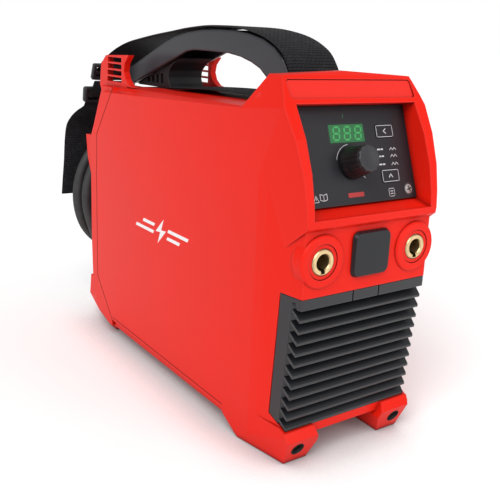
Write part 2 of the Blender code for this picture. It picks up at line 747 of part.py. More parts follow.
STRAP_UPPER = [
    (0.0, 71.2, 250.0), (0.0, 72.0, 262.0), (0.0, 74.6, 270.5), (0.0, 79.5, 279.0), (0.0, 87.4, 287.6),
    (0.0, 98.0, 293.4), (0.0, 112.0, 298.3), (0.0, 130.0, 301.9), (0.0, 150.0, 303.9), (0.0, 175.0, 304.5),
    (0.0, 200.0, 304.2), (0.0, 226.0, 302.2), (0.0, 250.0, 299.4), (0.0, 280.0, 296.0), (0.0, 310.0, 292.0),
    (-2.0, 336.0, 287.4), (-6.0, 354.0, 281.0), (-12.0, 365.0, 272.6), (-16.0, 369.6, 266.0),
]
STRAP_LOWER = [
    (0.0, 98.0, 252.6), (0.0, 120.0, 253.6), (0.0, 150.0, 254.0), (0.0, 180.0, 253.6),
    (0.0, 210.0, 252.4), (0.0, 235.0, 250.9), (0.0, 258.0, 249.3),
]
CABLE_STRAP = [
    (-28.0, 387.5, 221.0), (-33.0, 396.0, 215.0), (-37.0, 404.0, 207.5), (-40.5, 408.4, 198.0),
    (-42.5, 409.4, 182.0), (-44.0, 409.6, 160.0), (-46.0, 409.6, 140.0), (-47.5, 409.4, 124.0),
]
SLIDER_PLACE = (-20.0, 375.5, 256.5)
BUCKLE_PLACE = (-27.0, 382.64, 233.0)


def strap_upper(finish):
    """The webbing that runs from the hood over the handle to the rear buckle."""
    return store("strap_upper", ribbon(STRAP_UPPER, 2.2, 47.0), finish)


def strap_lower(finish):
    """The run of webbing on the deck under the handle."""
    return store("strap_lower", ribbon(STRAP_LOWER, 2.2, 48.0), finish)


def strap_buckles(slider_finish, buckle_finish):
    """The three-bar slider and the ladder buckle at the rear end of the webbing."""
    slider = box(-27.5, 27.5, -2.6, 2.6, -8.5, 8.5)
    chamfer_all(slider, 1.0)
    made = store("strap_slider", slider, slider_finish, SLIDER_PLACE, math.radians(24.0))
    slots = bmesh.new()
    add_box(slots, -24.0, 24.0, -6.0, 6.0, 1.6, 6.0)
    add_box(slots, -24.0, 24.0, -6.0, 6.0, -5.6, -1.6)
    cut(made, store("slider_slots", slots, None, SLIDER_PLACE, math.radians(24.0)))
    buckle = box(-27.5, 27.5, -3.4, 3.4, -8.0, 8.0)
    chamfer_all(buckle, 1.6)
    ladder = store("strap_buckle", buckle, buckle_finish, BUCKLE_PLACE, math.radians(10.0))
    bars = bmesh.new()
    add_box(bars, -23.5, 23.5, -6.0, 6.0, -5.2, -1.4)
    cut(ladder, store("buckle_slot", bars, None, BUCKLE_PLACE, math.radians(10.0)))
    return made, ladder


def cable_strap(finish):
    """The loose end of the webbing that lies round the back of the cable coil."""
    return store("cable_strap", ribbon(CABLE_STRAP, 2.2, 47.0), finish)


def rear_ear(side):
    """A slotted ear that stands on the rear frame beside the handle."""
    outline = [
        (273.0, 247.9), (283.0, 249.6), (290.5, 254.6), (294.0, 261.5), (291.8, 269.0), (283.5, 276.6),
        (334.0, 274.6), (345.5, 266.0), (349.0, 246.0), (343.2, 237.4), (303.0, 237.4),
        (292.5, 244.2), (285.6, 247.7),
    ]
    low = 44.5 if side > 0 else -50.5
    return side_prism(outline, low, low + 6.0)


def ear_slots():
    """The cutter for the slots through both ears."""
    slots = bmesh.new()
    for side in (-1, 1):
        for row in range(4):
            z = 250.6 + row * 6.1
            add_box(slots, side * 47.5 - 8.0, side * 47.5 + 8.0, 299.0, 331.0 - row * 0.6, z, z + 4.4)
    return store("ear_slots", slots, None)


def rear_foot(side):
    """A rear foot that slopes up to the back."""
    outline = [
        (294.6, 12.0), (303.0, 0.0), (318.0, 0.0), (342.0, 9.0), (357.0, 25.0), (353.2, 47.0), (318.0, 37.0),
    ]
    low, high = (38.0, 62.0) if side > 0 else (-62.0, -38.0)
    foot = side_prism(outline, low, high)
    slice_off(foot, (side * 56.0, 0.0, 0.0), (side * 1.0, 0.0, -0.24))
    return foot


REAR_BAND_OUTLINE = [
    (SEAM_TOP_Y + 0.5, DECK_REAR_Z), (309.0, 245.6), (338.5, 198.1), (341.0, 155.0), (342.2, 88.0),
    (340.4, 46.0), (333.0, 20.0), (301.0, 9.6), (293.8, 9.6), (293.8, 15.5), (328.9, 53.4),
    (327.7, 155.2), (325.7, 200.0),
]
REAR_BLOCK_OUTLINE = [
    (297.0, 243.0), (301.0, 246.2), (330.0, 246.2), (346.3, 242.2), (REAR_FACE_Y, 197.0),
    (REAR_FACE_Y, 60.0), (352.0, 34.0), (330.0, 16.0), (322.0, 20.0), (334.0, 60.0),
    (334.0, 190.0), (310.0, 225.0),
]
REAR_CORNER = (0.8675, 0.4338, 0.2433)
REAR_FIN_OUTLINE = [(344.2, 195.4), (370.0, 194.0), (366.8, 171.0), (358.0, 153.0), (344.2, 148.6)]
REAR_CAVITY_OUTLINE = [
    (280.0, 241.5), (304.0, 241.5), (340.0, 236.0), (350.5, 195.0), (350.5, 60.0), (346.0, 40.0),
    (330.0, 22.0), (280.0, 12.6),
]


def rear_frame(finish):
    """The rear frame: side bands, rear wall, fins, ears and rear feet in one moulding."""
    band = side_prism(REAR_BAND_OUTLINE, -HALF_WIDTH, HALF_WIDTH)
    slice_both(band, *DECK_CHAMFER)
    frame = store("rear_frame", band, finish)
    block = side_prism(REAR_BLOCK_OUTLINE, -60.0, 60.0)
    slice_both(block, (60.0, 341.0, 100.0), (1.0, 0.28, 0.0))
    slice_both(block, (60.0, 322.0, 246.0), REAR_CORNER)
    join(frame, store("rear_block", block, None))
    for side in (1, -1):
        tag = "right" if side > 0 else "left"
        low, high = (53.2, 57.6) if side > 0 else (-57.6, -53.2)
        join(frame, store("rear_fin_" + tag, side_prism(REAR_FIN_OUTLINE, low, high), None))
        join(frame, store("rear_ear_" + tag, rear_ear(side), None))
        join(frame, store("rear_foot_" + tag, rear_foot(side), None))
    cavity = side_prism(REAR_CAVITY_OUTLINE, -55.5, 55.5)
    slice_both(cavity, (56.5, 320.3, 245.0), REAR_CORNER)
    cut(frame, store("rear_cavity", cavity, None))
    cut(frame, ear_slots())
    outlet = front_prism(rounded_rectangle(84.6, 84.6, 6.0), 345.0, 362.0)
    cut(frame, store("rear_outlet", shift(outlet, z=FAN_Z), None))
    gland = shift(cylinder(8.3, 340.0, 370.0, 32), GLAND_X, 0.0, GLAND_Z)
    cut(frame, store("gland_hole", gland, None))
    switch = front_prism(rounded_rectangle(19.6, 25.6, 1.0, 1), 340.0, 370.0)
    cut(frame, store("switch_hole", shift(switch, x=SWITCH_X, z=SWITCH_Z), None))
    cut(frame, store("handle_slot_rear", box(-22.5, 22.5, 310.0, 356.0, 236.0, 250.5), None))
    return frame


def rear_grille(finish):
    """The slotted outlet grille in the rear wall."""
    plate = front_prism(rounded_rectangle(84.0, 84.0, 5.7), REAR_FACE_Y - 3.6, REAR_FACE_Y + 0.6)
    grille = store("rear_grille", shift(plate, z=FAN_Z), finish)
    slots = bmesh.new()
    for row in range(9):
        z = FAN_Z - 34.0 + row * 8.5
        for column in (-1, 1):
            x0, x1 = sorted((column * 1.5, column * 37.0))
            add_box(slots, x0, x1, REAR_FACE_Y - 8.0, REAR_FACE_Y + 4.0, z - 2.6, z + 2.6)
    cut(grille, store("rear_grille_slots", slots, None))
    return grille


def fan_frame(finish):
    """The square fan housing with a round duct."""
    block = front_prism(rounded_rectangle(80.0, 80.0, 4.0, 3), 322.0, 347.0)
    frame = store("fan_frame", shift(block, z=FAN_Z), finish)
    duct = shift(cylinder(37.5, 315.0, 355.0, 48), z=FAN_Z)
    cut(frame, store("fan_duct", duct, None))
    strut = box(-39.0, 39.0, 342.5, 346.5, FAN_Z - 3.0, FAN_Z + 3.0)
    join(frame, store("fan_strut", strut, None))
    return frame


def fan_rotor(finish):
    """The fan rotor: a hub with seven pitched blades."""
    rotor = store("fan_rotor", cylinder(15.0, -10.0, 8.0, 28), finish, (0.0, 333.5, FAN_Z))
    for index in range(7):
        blade = box(-0.9, 0.9, -8.5, 7.0, 13.0, 36.4)
        bmesh.ops.rotate(blade, matrix=Matrix.Rotation(math.radians(38.0), 3, "Z"), verts=blade.verts[:])
        turn = Matrix.Rotation(2 * math.pi * index / 7, 3, "Y")
        bmesh.ops.rotate(blade, matrix=turn, verts=blade.verts[:])
        join(rotor, store("fan_blade_%d" % index, blade, None, (0.0, 333.5, FAN_Z)))
    return rotor


def mains_switch(bezel_finish, rocker_finish):
    """The rocker switch at the rear: a bezel with its body, and the rocker."""
    bezel = front_prism(rounded_rectangle(24.0, 30.0, 2.0, 2), REAR_FACE_Y + 0.3, REAR_FACE_Y + 2.8)
    body = store("switch_bezel", shift(bezel, x=SWITCH_X, z=SWITCH_Z), bezel_finish)
    back = shift(box(-9.2, 9.2, -20.0, 1.0, -12.2, 12.2), SWITCH_X, REAR_FACE_Y, SWITCH_Z)
    join(body, store("switch_body", back, None))
    well = shift(box(-7.6, 7.6, -7.5, 8.0, -11.3, 11.3), SWITCH_X, REAR_FACE_Y, SWITCH_Z)
    cut(body, store("switch_well", well, None))
    outline = [
        (-5.6, -2.5), (-5.6, 2.5), (-1.2, 9.6), (1.6, 10.2), (2.6, 9.9), (1.4, 0.0),
        (5.6, -9.2), (4.6, -9.9), (-2.2, -9.3),
    ]
    rocker = side_prism(outline, -7.1, 7.1)
    lever = store("mains_rocker", rocker, rocker_finish, (SWITCH_X, REAR_FACE_Y, SWITCH_Z))
    return body, lever


def cable_gland(finish):
    """The cable entry: a block on the rear wall with a neck through it."""
    block = front_prism(rounded_rectangle(20.8, 22.0, 4.0), REAR_FACE_Y + 0.3, CABLE_OUT_Y + 6.8)
    gland = store("cable_gland", shift(block, x=GLAND_X, z=GLAND_Z), finish)
    neck = shift(cylinder(8.0, REAR_FACE_Y - 12.0, REAR_FACE_Y + 5.0, 32), x=GLAND_X, z=GLAND_Z)
    join(gland, store("gland_neck", neck, None))
    return gland


def strain_relief(finish):
    """The tapered sleeve that leads the cable down out of its entry."""
    profile = [(5.8, 0.3), (7.8, 0.3), (7.8, 8.0), (7.2, 9.0), (6.8, 32.0), (5.8, 32.0), (5.8, 0.3)]
    origin = (GLAND_X, CABLE_OUT_Y, GLAND_FOOT_Z)
    return turned("strain_relief", profile, finish, origin, math.radians(-90.0), steps=24)


def blend(t):
    """An even start and stop between 0 and 1."""
    return t * t * (3.0 - 2.0 * t)


def lead_point(run):
    """A point this far along the cable's way from above the coil down into it."""
    y = CABLE_OUT_Y + (COIL_Y - 11.0 - CABLE_OUT_Y) * blend(run / LEAD_RUN)
    if run < LEAD_DROP:
        return GLAND_X, y, LEAD_BEND_Z + LEAD_DROP - run
    turn = math.pi + (run - LEAD_DROP) / LEAD_BEND_R
    return LEAD_BEND_X + LEAD_BEND_R * math.cos(turn), y, LEAD_BEND_Z + LEAD_BEND_R * math.sin(turn)


def tail_point(angle):
    """A point on the bend that takes the cable from the coil to the plug."""
    turn = math.radians(angle)
    x = TAIL_BEND_X + TAIL_BEND_R * math.cos(turn)
    return x, COIL_Y, TAIL_BEND_Z + TAIL_BEND_R * math.sin(turn)


def tube(name, points, radius, finish):
    """A round closed tube along points."""
    curve = bpy.data.curves.new(name, "CURVE")
    curve.dimensions = "3D"
    curve.bevel_depth = radius * MM
    curve.bevel_resolution = 2
    curve.use_fill_caps = True
    spline = curve.splines.new("POLY")
    spline.points.add(len(points) - 1)
    for point, at in zip(spline.points, points):
        point.co = (at[0] * MM, at[1] * MM, at[2] * MM, 1.0)
    curve.materials.append(finish)
    obj = bpy.data.objects.new(name, curve)
    PARTS.objects.link(obj)
    place(obj, (0.0, 0.0, 0.0), 0.0)
    return obj


def mains_cable(finish):
    """The cable from its entry to the coil, and from the coil to the plug."""
    lead = [(GLAND_X, CABLE_OUT_Y, GLAND_FOOT_Z - 0.6 - 10.0 * step) for step in range(4)]
    lead += [lead_point(6.5 * step) for step in range(5)]
    tail = [tail_point(PLUG_TURN - 1.0 - 7.0 * step) for step in range(9)]
    return tube("mains_cable", lead, CABLE_R, finish), tube("mains_cable_tail", tail[::-1], CABLE_R, finish)


def mains_coil(finish):
    """The coiled length of mains cable, as one closed ring."""
    profile = []
    for step in range(12):
        angle = 2 * math.pi * step / 12
        profile.append((COIL_R - COIL_HALF_BAND * math.cos(angle), COIL_HALF_DEPTH * math.sin(angle)))
    profile.append(profile[0])
    return turned("mains_coil", profile, finish, (COIL_X, COIL_Y, COIL_Z), steps=40)


def mains_plug(body_finish, pin_finish):
    """The moulded two-pin plug tucked inside the coil."""
    origin = Vector(tail_point(PLUG_TURN))
    along = Vector((math.cos(PLUG_ANGLE), 0.0, math.sin(PLUG_ANGLE)))
    turn = along.to_track_quat("Y", "Z").to_euler()
    profile = [
        (0.0, 0.3), (6.5, 0.3), (7.5, 8.0), (11.5, 14.0), (17.0, 20.0), (17.0, 39.0),
        (15.6, 42.0), (0.0, 42.0),
    ]
    plug = turned("mains_plug", profile, body_finish, origin, turn, steps=28)
    across = turn.to_matrix() @ Vector((9.5, 0.0, 0.0))
    for side in (-1, 1):
        name = "plug_pin_%s" % ("right" if side > 0 else "left")
        pin = [(0.0, 42.3), (2.4, 42.3), (2.4, 59.6), (1.6, 61.0), (0.0, 61.0)]
        turned(name, pin, pin_finish, origin + side * across, turn, steps=12)
    return plug


def power_board(finish):
    """The main circuit board, upright along the machine."""
    return store("power_board", box(-1.0, 1.0, 92.0, 312.0, 30.0, 200.0), finish)


def heatsink(name, side, finish):
    """A finned aluminium heat sink."""
    inner, outer = sorted((side * 8.0, side * 13.0))
    sink = store(name, box(inner, outer, 150.0, 300.0, 40.0, 120.0), finish)
    fins = bmesh.new()
    for row in range(7):
        z = 43.0 + row * 12.0
        x0, x1 = sorted((side * 11.0, side * 44.0))
        add_box(fins, x0, x1, 150.0, 300.0, z, z + 2.4)
    join(sink, store(name + "_fins", fins, None))
    return sink


def transformer(core_finish, coil_finish):
    """The main transformer: a ferrite core with its winding."""
    core = store("transformer_core", box(8.0, 54.0, 66.0, 112.0, 40.0, 92.0), core_finish)
    cut(core, store("core_windows", box(17.0, 45.0, 60.0, 120.0, 50.0, 82.0), None))
    wind = front_prism(rounded_rectangle(27.0, 31.0, 5.0, 3), 74.0, 104.0)
    coil = store("transformer_winding", shift(wind, x=31.0, z=66.0), coil_finish)
    return core, coil


def choke(finish):
    """The toroidal output choke."""
    profile = []
    for step in range(12):
        angle = 2 * math.pi * step / 12
        profile.append((20.0 - 9.0 * math.cos(angle), 10.0 * math.sin(angle)))
    profile.append(profile[0])
    return turned("output_choke", profile, finish, (-32.0, 90.0, 66.0), steps=28)


def capacitor(name, y, finish):
    """An upright electrolytic capacitor."""
    bm = bmesh.new()
    bmesh.ops.create_cone(bm, cap_ends=True, segments=24, radius1=15.0, radius2=15.0, depth=46.0)
    shift(bm, x=28.0, y=y, z=160.0)
    part = store(name, bm, finish)
    smooth(part, 40.0)
    return part


def housing_screw(name, x, z, finish):
    """A screw in the rear wall."""
    profile = [(0.0, 2.6), (2.4, 2.4), (3.6, 1.2), (3.6, 0.3), (0.0, 0.3)]
    return turned(name, profile, finish, (x, REAR_FACE_Y, z), steps=16)


def build():
    """Makes every part."""
    main_housing(plastic("housing_red", RED))
    rear_frame(plastic("rear_frame_red", RED))
    base_plate(plastic("base_red", RED))
    front_grille(plastic("grille_black", DARK))
    name_plate(plastic("name_plate_red", RED))
    control_panel(plastic("panel_grey", PANEL_GREY))
    panel_screw(metal("panel_screw_steel", STEEL))
    display_window(material("window_green", GREEN, 0.0, 0.15))
    display_module(plastic("display_dark", BLACK))
    control_knob(plastic("knob_black", BLACK))
    knob_cap(plastic("cap_grey", PANEL_GREY))
    encoder(metal("encoder_metal", ALUMINIUM))
    for name, x, w in KEYS:
        panel_key(name, x, w, plastic(name + "_grey", PANEL_GREY))
    control_board(plastic("control_board_green", BOARD_GREEN))
    for tag, side in (("right", 1), ("left", -1)):
        socket_insulator("insulator_" + tag, side, plastic("insulator_red_" + tag, RED))
        current_socket("socket_" + tag, side, metal("brass_" + tag, BRASS))
        busbar("busbar_" + tag, side, metal("copper_" + tag, COPPER))
        heatsink("heatsink_" + tag, side, metal("heatsink_aluminium_" + tag, ALUMINIUM))
    blanking_cover(plastic("cover_grey", DARK))
    handle(plastic("handle_grey", HANDLE_GREY))
    handle_insert(plastic("insert_black", BLACK))
    strap_upper(soft("strap_upper_web", BLACK))
    strap_lower(soft("strap_lower_web", BLACK))
    strap_buckles(plastic("slider_black", BLACK), plastic("buckle_black", BLACK))
    cable_strap(soft("cable_strap_web", BLACK))
    rear_grille(plastic("rear_grille_black", DARK))
    fan_frame(plastic("fan_frame_black", BLACK))
    fan_rotor(plastic("fan_rotor_black", BLACK))
    mains_switch(plastic("switch_black", BLACK), plastic("rocker_black", BLACK))
    cable_gland(plastic("gland_black", BLACK))
    strain_relief(soft("sleeve_rubber", BLACK))
    mains_cable(soft("cable_rubber", BLACK))
    mains_coil(soft("coil_rubber", BLACK))
    mains_plug(soft("plug_rubber", BLACK), metal("pin_metal", STEEL))
    power_board(plastic("power_board_green", BOARD_GREEN))
    transformer(material("ferrite", DARK, 0.1, 0.7), material("winding_copper", COPPER, 0.7, 0.5))
    choke(material("choke_copper", COPPER, 0.7, 0.5))
    capacitor("capacitor_front", 165.0, plastic("capacitor_front_sleeve", BLACK))
    capacitor("capacitor_rear", 205.0, plastic("capacitor_rear_sleeve", BLACK))
    for number, (x, z) in enumerate(((-47.0, 190.0), (47.0, 190.0), (-50.5, 52.0), (50.5, 52.0)), 1):
        housing_screw("rear_screw_%d" % number, x, z, metal("rear_screw_steel_%d" % number, STEEL))


build()
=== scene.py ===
"""Looks, camera and light for the portable welding power source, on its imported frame."""

import math

import bmesh
import bpy
from mathutils import Matrix, Vector


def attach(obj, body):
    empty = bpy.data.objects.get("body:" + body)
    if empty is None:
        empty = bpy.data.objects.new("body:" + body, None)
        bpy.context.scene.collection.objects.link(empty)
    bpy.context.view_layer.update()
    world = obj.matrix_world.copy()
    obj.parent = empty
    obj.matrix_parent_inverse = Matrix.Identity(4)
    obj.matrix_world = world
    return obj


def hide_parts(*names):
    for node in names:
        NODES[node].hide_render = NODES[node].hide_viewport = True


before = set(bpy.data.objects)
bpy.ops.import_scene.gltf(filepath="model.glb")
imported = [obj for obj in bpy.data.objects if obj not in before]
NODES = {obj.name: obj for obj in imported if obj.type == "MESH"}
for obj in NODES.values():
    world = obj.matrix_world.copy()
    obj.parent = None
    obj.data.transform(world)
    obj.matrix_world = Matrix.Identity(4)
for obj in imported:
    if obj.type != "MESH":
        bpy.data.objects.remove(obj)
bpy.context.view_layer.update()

# Places on the machine are in millimetres, with Y counted from the chin under the control panel.
# The frame itself, the camera, the lights and whatever goes to Blender are in metres.
MM = 0.001
BODY_CENTRE_Y = 193.8
PANEL_TILT = math.radians(-20.0)
PANEL_CENTRE = Vector((0.0, 26.95, 221.6))
SIDE_X = 65.0
SHARP_ANGLE = math.radians(40.0)


def at(x, y, z):
    """A point of the machine, in metres in the row frame."""
    return Vector((x, y - BODY_CENTRE_Y, z)) * MM


def panel_matrix(x=0.0, w=0.0):
    """The frame at a point of the leaning panel: X across, Z up the panel, -Y out of it."""
    lean = Matrix.Rotation(PANEL_TILT, 4, "X")
    across = Matrix.Translation(Vector((x, 0.0, w)) * MM)
    return Matrix.Translation(at(*PANEL_CENTRE)) @ lean @ across


# ---------------------------------------------------------------- camera and light

LENS_MM = 52.354
SENSOR_MM = 36.0
CAMERA_PLACE = Vector((-0.35040, -0.54051, 0.29685))
# Right of straight ahead, down, and tilted, in radians.
CAMERA_YAW = 0.6155696
CAMERA_PITCH = 0.2841573
CAMERA_ROLL = 0.0443075
WORLD_LIGHT = 0.5
# The wide sun, by the direction it comes from, and the soft light in front.
KEY_FROM = (-0.75, -0.55, 0.95)
KEY_STRENGTH = 2.3
KEY_WIDTH = 45.0
FILL_PLACE = (0.5, -1.3, 0.65)
FILL_TARGET = (0.0, -0.1, 0.16)
FILL_SIZE = (0.5, 0.9)
FILL_POWER = 4.5
FLOOR_SIZE = 30.0
FLOOR_DROP = 0.0005
FLOOR_WHITE = (0.97, 0.97, 0.97)
FLOOR_GRAIN = (0.99, 0.99, 0.99)
# The colour of the painted shadow on the floor where something stands on it.
FLOOR_SHADE = (0.42, 0.42, 0.43)


def camera():
    """The camera, at the front left of the machine and looking a little down."""
    data = bpy.data.cameras.new("camera")
    data.sensor_width = SENSOR_MM
    data.lens = LENS_MM
    data.clip_start = 0.01
    obj = bpy.data.objects.new("camera", data)
    bpy.context.scene.collection.objects.link(obj)
    level = math.cos(CAMERA_PITCH)
    forward = Vector((
        math.sin(CAMERA_YAW) * level, math.cos(CAMERA_YAW) * level, -math.sin(CAMERA_PITCH),
    ))
    right = Vector((math.cos(CAMERA_YAW), -math.sin(CAMERA_YAW), 0.0))
    up = right.cross(forward)
    side = math.cos(CAMERA_ROLL) * right + math.sin(CAMERA_ROLL) * up
    top = -math.sin(CAMERA_ROLL) * right + math.cos(CAMERA_ROLL) * up
    matrix = Matrix((side, top, -forward)).transposed().to_4x4()
    matrix.translation = CAMERA_PLACE
    obj.matrix_world = matrix
    bpy.context.scene.camera = obj


def area_light(name, place, target, size, power):
    """A soft rectangular light that faces a point."""
    data = bpy.data.lights.new(name, "AREA")
    data.shape = "RECTANGLE"
    data.size, data.size_y = size
    data.energy = power
    obj = bpy.data.objects.new(name, data)
    obj.location = place
    obj.rotation_euler = (Vector(target) - Vector(place)).to_track_quat("-Z", "Y").to_euler()
    bpy.context.scene.collection.objects.link(obj)


def sun_light(name, place, strength, width):
    """A wide soft sun that shines from a place towards the machine."""
    data = bpy.data.lights.new(name, "SUN")
    data.energy = strength
    data.angle = math.radians(width)
    obj = bpy.data.objects.new(name, data)
    obj.rotation_euler = (-Vector(place)).to_track_quat("-Z", "Y").to_euler()
    bpy.context.scene.collection.objects.link(obj)


def studio():
    """White surroundings, a pale floor and soft lights, shown with plain colours."""
    bpy.context.scene.view_settings.view_transform = "Standard"
    world = bpy.data.worlds.new("studio")
    world.use_nodes = True
    tree = world.node_tree
    background = tree.nodes["Background"]
    seen = tree.nodes.new("ShaderNodeLightPath")
    # The surroundings are plain white to the camera and shine with less than that.
    level = node(
        tree, "ShaderNodeMapRange", From_Min=0.0, From_Max=1.0, To_Min=WORLD_LIGHT, To_Max=1.0,
    )
    tree.links.new(seen.outputs["Is Camera Ray"], level.inputs["Value"])
    tree.links.new(level.outputs["Result"], background.inputs["Strength"])
    background.inputs["Color"].default_value = (1.0, 1.0, 1.0, 1.0)
    bpy.context.scene.world = world
    sun_light("key", KEY_FROM, KEY_STRENGTH, KEY_WIDTH)
    area_light("front", FILL_PLACE, FILL_TARGET, FILL_SIZE, FILL_POWER)
    bm = bmesh.new()
    bmesh.ops.create_grid(bm, x_segments=2, y_segments=2, size=FLOOR_SIZE)
    floor = mesh_object("floor", bm, floor_material())
    floor.location.z = -FLOOR_DROP


def floor_material():
    """Matt white paper, with painted shadow darkening it where something stands on it."""
    made, tree, shader = principled("floor_paper", FLOOR_WHITE, 0.9)
    shader.inputs["Specular IOR Level"].default_value = 0.0
    shader.inputs["Emission Color"].default_value = (1.0, 1.0, 1.0, 1.0)
    shader.inputs["Emission Strength"].default_value = 0.04
    grain = noise(tree, 300.0, 2.0)
    base = ramp(tree, grain.outputs["Fac"], FLOOR_WHITE, FLOOR_GRAIN)
    painted_occlusion_shade(tree, shader, base, FLOOR_SHADE, 0.05, 0.35)
    return made


# ---------------------------------------------------------------- materials


def principled(name, colour, roughness, metallic=0.0):
    """A material with one Principled node."""
    made = bpy.data.materials.new(name)
    made.use_nodes = True
    tree = made.node_tree
    shader = tree.nodes["Principled BSDF"]
    shader.inputs["Base Color"].default_value = (*colour, 1.0)
    shader.inputs["Roughness"].default_value = roughness
    shader.inputs["Metallic"].default_value = metallic
    made.diffuse_color = (*colour, 1.0)
    return made, tree, shader


def node(tree, kind, **values):
    """A shader node with named input values and properties."""
    made = tree.nodes.new(kind)
    for key, value in values.items():
        if hasattr(made, key):
            setattr(made, key, value)
        else:
            made.inputs[key.replace("_", " ")].default_value = value
    return made


def in_space(tree, made, space="Object"):
    """Lets a texture node read the object's own space, or its UV, both in metres."""
    place = tree.nodes.new("ShaderNodeTexCoord")
    tree.links.new(place.outputs[space], made.inputs["Vector"])
    return made


def noise(tree, scale, detail):
    """A noise texture in the object's own space."""
    made = node(tree, "ShaderNodeTexNoise", Scale=scale, Detail=detail, Roughness=0.55)
    return in_space(tree, made)


def mixed(tree, first, second, factor, blend):
    """Two colours blended by a fixed factor."""
    mix = node(tree, "ShaderNodeMix", data_type="RGBA", blend_type=blend)
    mix.inputs["Factor"].default_value = factor
    tree.links.new(first, mix.inputs["A"])
    tree.links.new(second, mix.inputs["B"])
    return mix.outputs["Result"]


def ramp(tree, source, low, high, start=0.3, end=0.7):
    """Maps a factor to a run between two colours."""
    made = tree.nodes.new("ShaderNodeValToRGB")
    made.color_ramp.elements[0].position = start
    made.color_ramp.elements[1].position = end
    made.color_ramp.elements[0].color = (*low, 1.0)
    made.color_ramp.elements[1].color = (*high, 1.0)
    tree.links.new(source, made.inputs["Fac"])
    return made.outputs["Color"]


def shade(colour, factor):
    """A colour made lighter or darker."""
    return tuple(min(1.0, part * factor) for part in colour)


def bump(tree, shader, height, strength, distance, rounding=0.0):
    """Fine relief on top of rounded edges."""
    made = tree.nodes.new("ShaderNodeBump")
    made.inputs["Strength"].default_value = strength
    made.inputs["Distance"].default_value = distance
    tree.links.new(height, made.inputs["Height"])
    if rounding:
        edge = tree.nodes.new("ShaderNodeBevel")
        edge.samples = 6
        edge.inputs["Radius"].default_value = rounding
        tree.links.new(edge.outputs["Normal"], made.inputs["Normal"])
    tree.links.new(made.outputs["Normal"], shader.inputs["Normal"])


def painted_occlusion_shade(tree, shader, base, deep, reach, floor_level=0.25):
    """Darkens a colour with ambient occlusion in creases, joins and bores: painted shade."""
    inside = node(tree, "ShaderNodeAmbientOcclusion", samples=6, Distance=reach)
    level = node(
        tree, "ShaderNodeMapRange", From_Min=floor_level, From_Max=0.9, To_Min=0.0, To_Max=1.0,
    )
    tree.links.new(inside.outputs["AO"], level.inputs["Value"])
    mix = tree.nodes.new("ShaderNodeMix")
    mix.data_type = "RGBA"
    mix.inputs["A"].default_value = (*deep, 1.0)
    tree.links.new(level.outputs["Result"], mix.inputs["Factor"])
    tree.links.new(base, mix.inputs["B"])
    tree.links.new(mix.outputs["Result"], shader.inputs["Base Color"])


def moulded(name, colour, roughness, relief=0.10, rounding=0.0009, reach=0.006, level=0.3):
    """Moulded plastic: fine grain, faint clouds, painted shade in its creases and slightly lighter
    edges.
    """
    made, tree, shader = principled(name, colour, roughness)
    shader.inputs["Specular IOR Level"].default_value = level
    cloud = noise(tree, 9.0, 4.0)
    base = ramp(tree, cloud.outputs["Fac"], shade(colour, 0.97), shade(colour, 1.03))
    worn = node(tree, "ShaderNodeAmbientOcclusion", samples=4, inside=True, Distance=0.0012)
    edge = ramp(tree, worn.outputs["AO"], (0.05, 0.05, 0.05), (0.0, 0.0, 0.0), 0.45, 0.85)
    painted_occlusion_shade(tree, shader, mixed(tree, base, edge, 0.4, "SCREEN"), shade(colour, 0.28), reach)
    rough = ramp(tree, cloud.outputs["Fac"], (roughness - 0.03,) * 3, (roughness + 0.04,) * 3)
    tree.links.new(rough, shader.inputs["Roughness"])
    fine = noise(tree, 900.0, 2.0)
    bump(tree, shader, fine.outputs["Fac"], relief, 0.0002, rounding)
    return made


def turned_metal(name, colour, roughness):
    """Machined metal with turning lines, a slight tarnish and painted shade darkening its bores."""
    made, tree, shader = principled(name, colour, roughness, 1.0)
    cloud = noise(tree, 220.0, 4.0)
    base = ramp(tree, cloud.outputs["Fac"], shade(colour, 0.78), shade(colour, 1.08))
    painted_occlusion_shade(tree, shader, base, shade(colour, 0.04), 0.008, 0.20)
    wave = in_space(tree, node(
        tree, "ShaderNodeTexWave", bands_direction="Y", Scale=2600.0 / 6.0, Distortion=0.6,
    ))
    bump(tree, shader, wave.outputs["Fac"], 0.15, 0.0001, 0.0003)
    return made


def wound_copper(name, colour):
    """Enamelled copper wire laid in turns."""
    made, tree, shader = principled(name, colour, 0.35, 0.7)
    wave = in_space(tree, node(
        tree, "ShaderNodeTexWave", bands_direction="DIAGONAL", Scale=260.0, Distortion=0.4,
    ))
    base = ramp(tree, wave.outputs["Fac"], shade(colour, 0.35), colour, 0.2, 0.7)
    tree.links.new(base, shader.inputs["Base Color"])
    bump(tree, shader, wave.outputs["Fac"], 0.5, 0.0005)
    return made


def board_material(name, colour):
    """A circuit board: solder mask over tracks and rows of solder points."""
    made, tree, shader = principled(name, colour, 0.35)
    track = in_space(tree, node(tree, "ShaderNodeTexBrick", Scale=60.0))
    base = ramp(tree, track.outputs["Fac"], colour, shade(colour, 1.9), 0.4, 0.6)
    tree.links.new(base, shader.inputs["Base Color"])
    dots = in_space(tree, node(tree, "ShaderNodeTexVoronoi", Scale=220.0))
    bump(tree, shader, dots.outputs["Distance"], 0.3, 0.0004)
    return made


def drawn_metal(name, colour, roughness):
    """Drawn or cast metal with fine lines along it."""
    made, tree, shader = principled(name, colour, roughness, 1.0)
    stretch = in_space(tree, node(tree, "ShaderNodeMapping", Scale=(900.0, 40.0, 900.0)))
    grain = node(tree, "ShaderNodeTexNoise", Scale=1.0, Detail=3.0)
    tree.links.new(stretch.outputs["Vector"], grain.inputs["Vector"])
    base = ramp(tree, grain.outputs["Fac"], shade(colour, 0.8), colour)
    tree.links.new(base, shader.inputs["Base Color"])
    bump(tree, shader, grain.outputs["Fac"], 0.2, 0.0002, 0.0003)
    return made


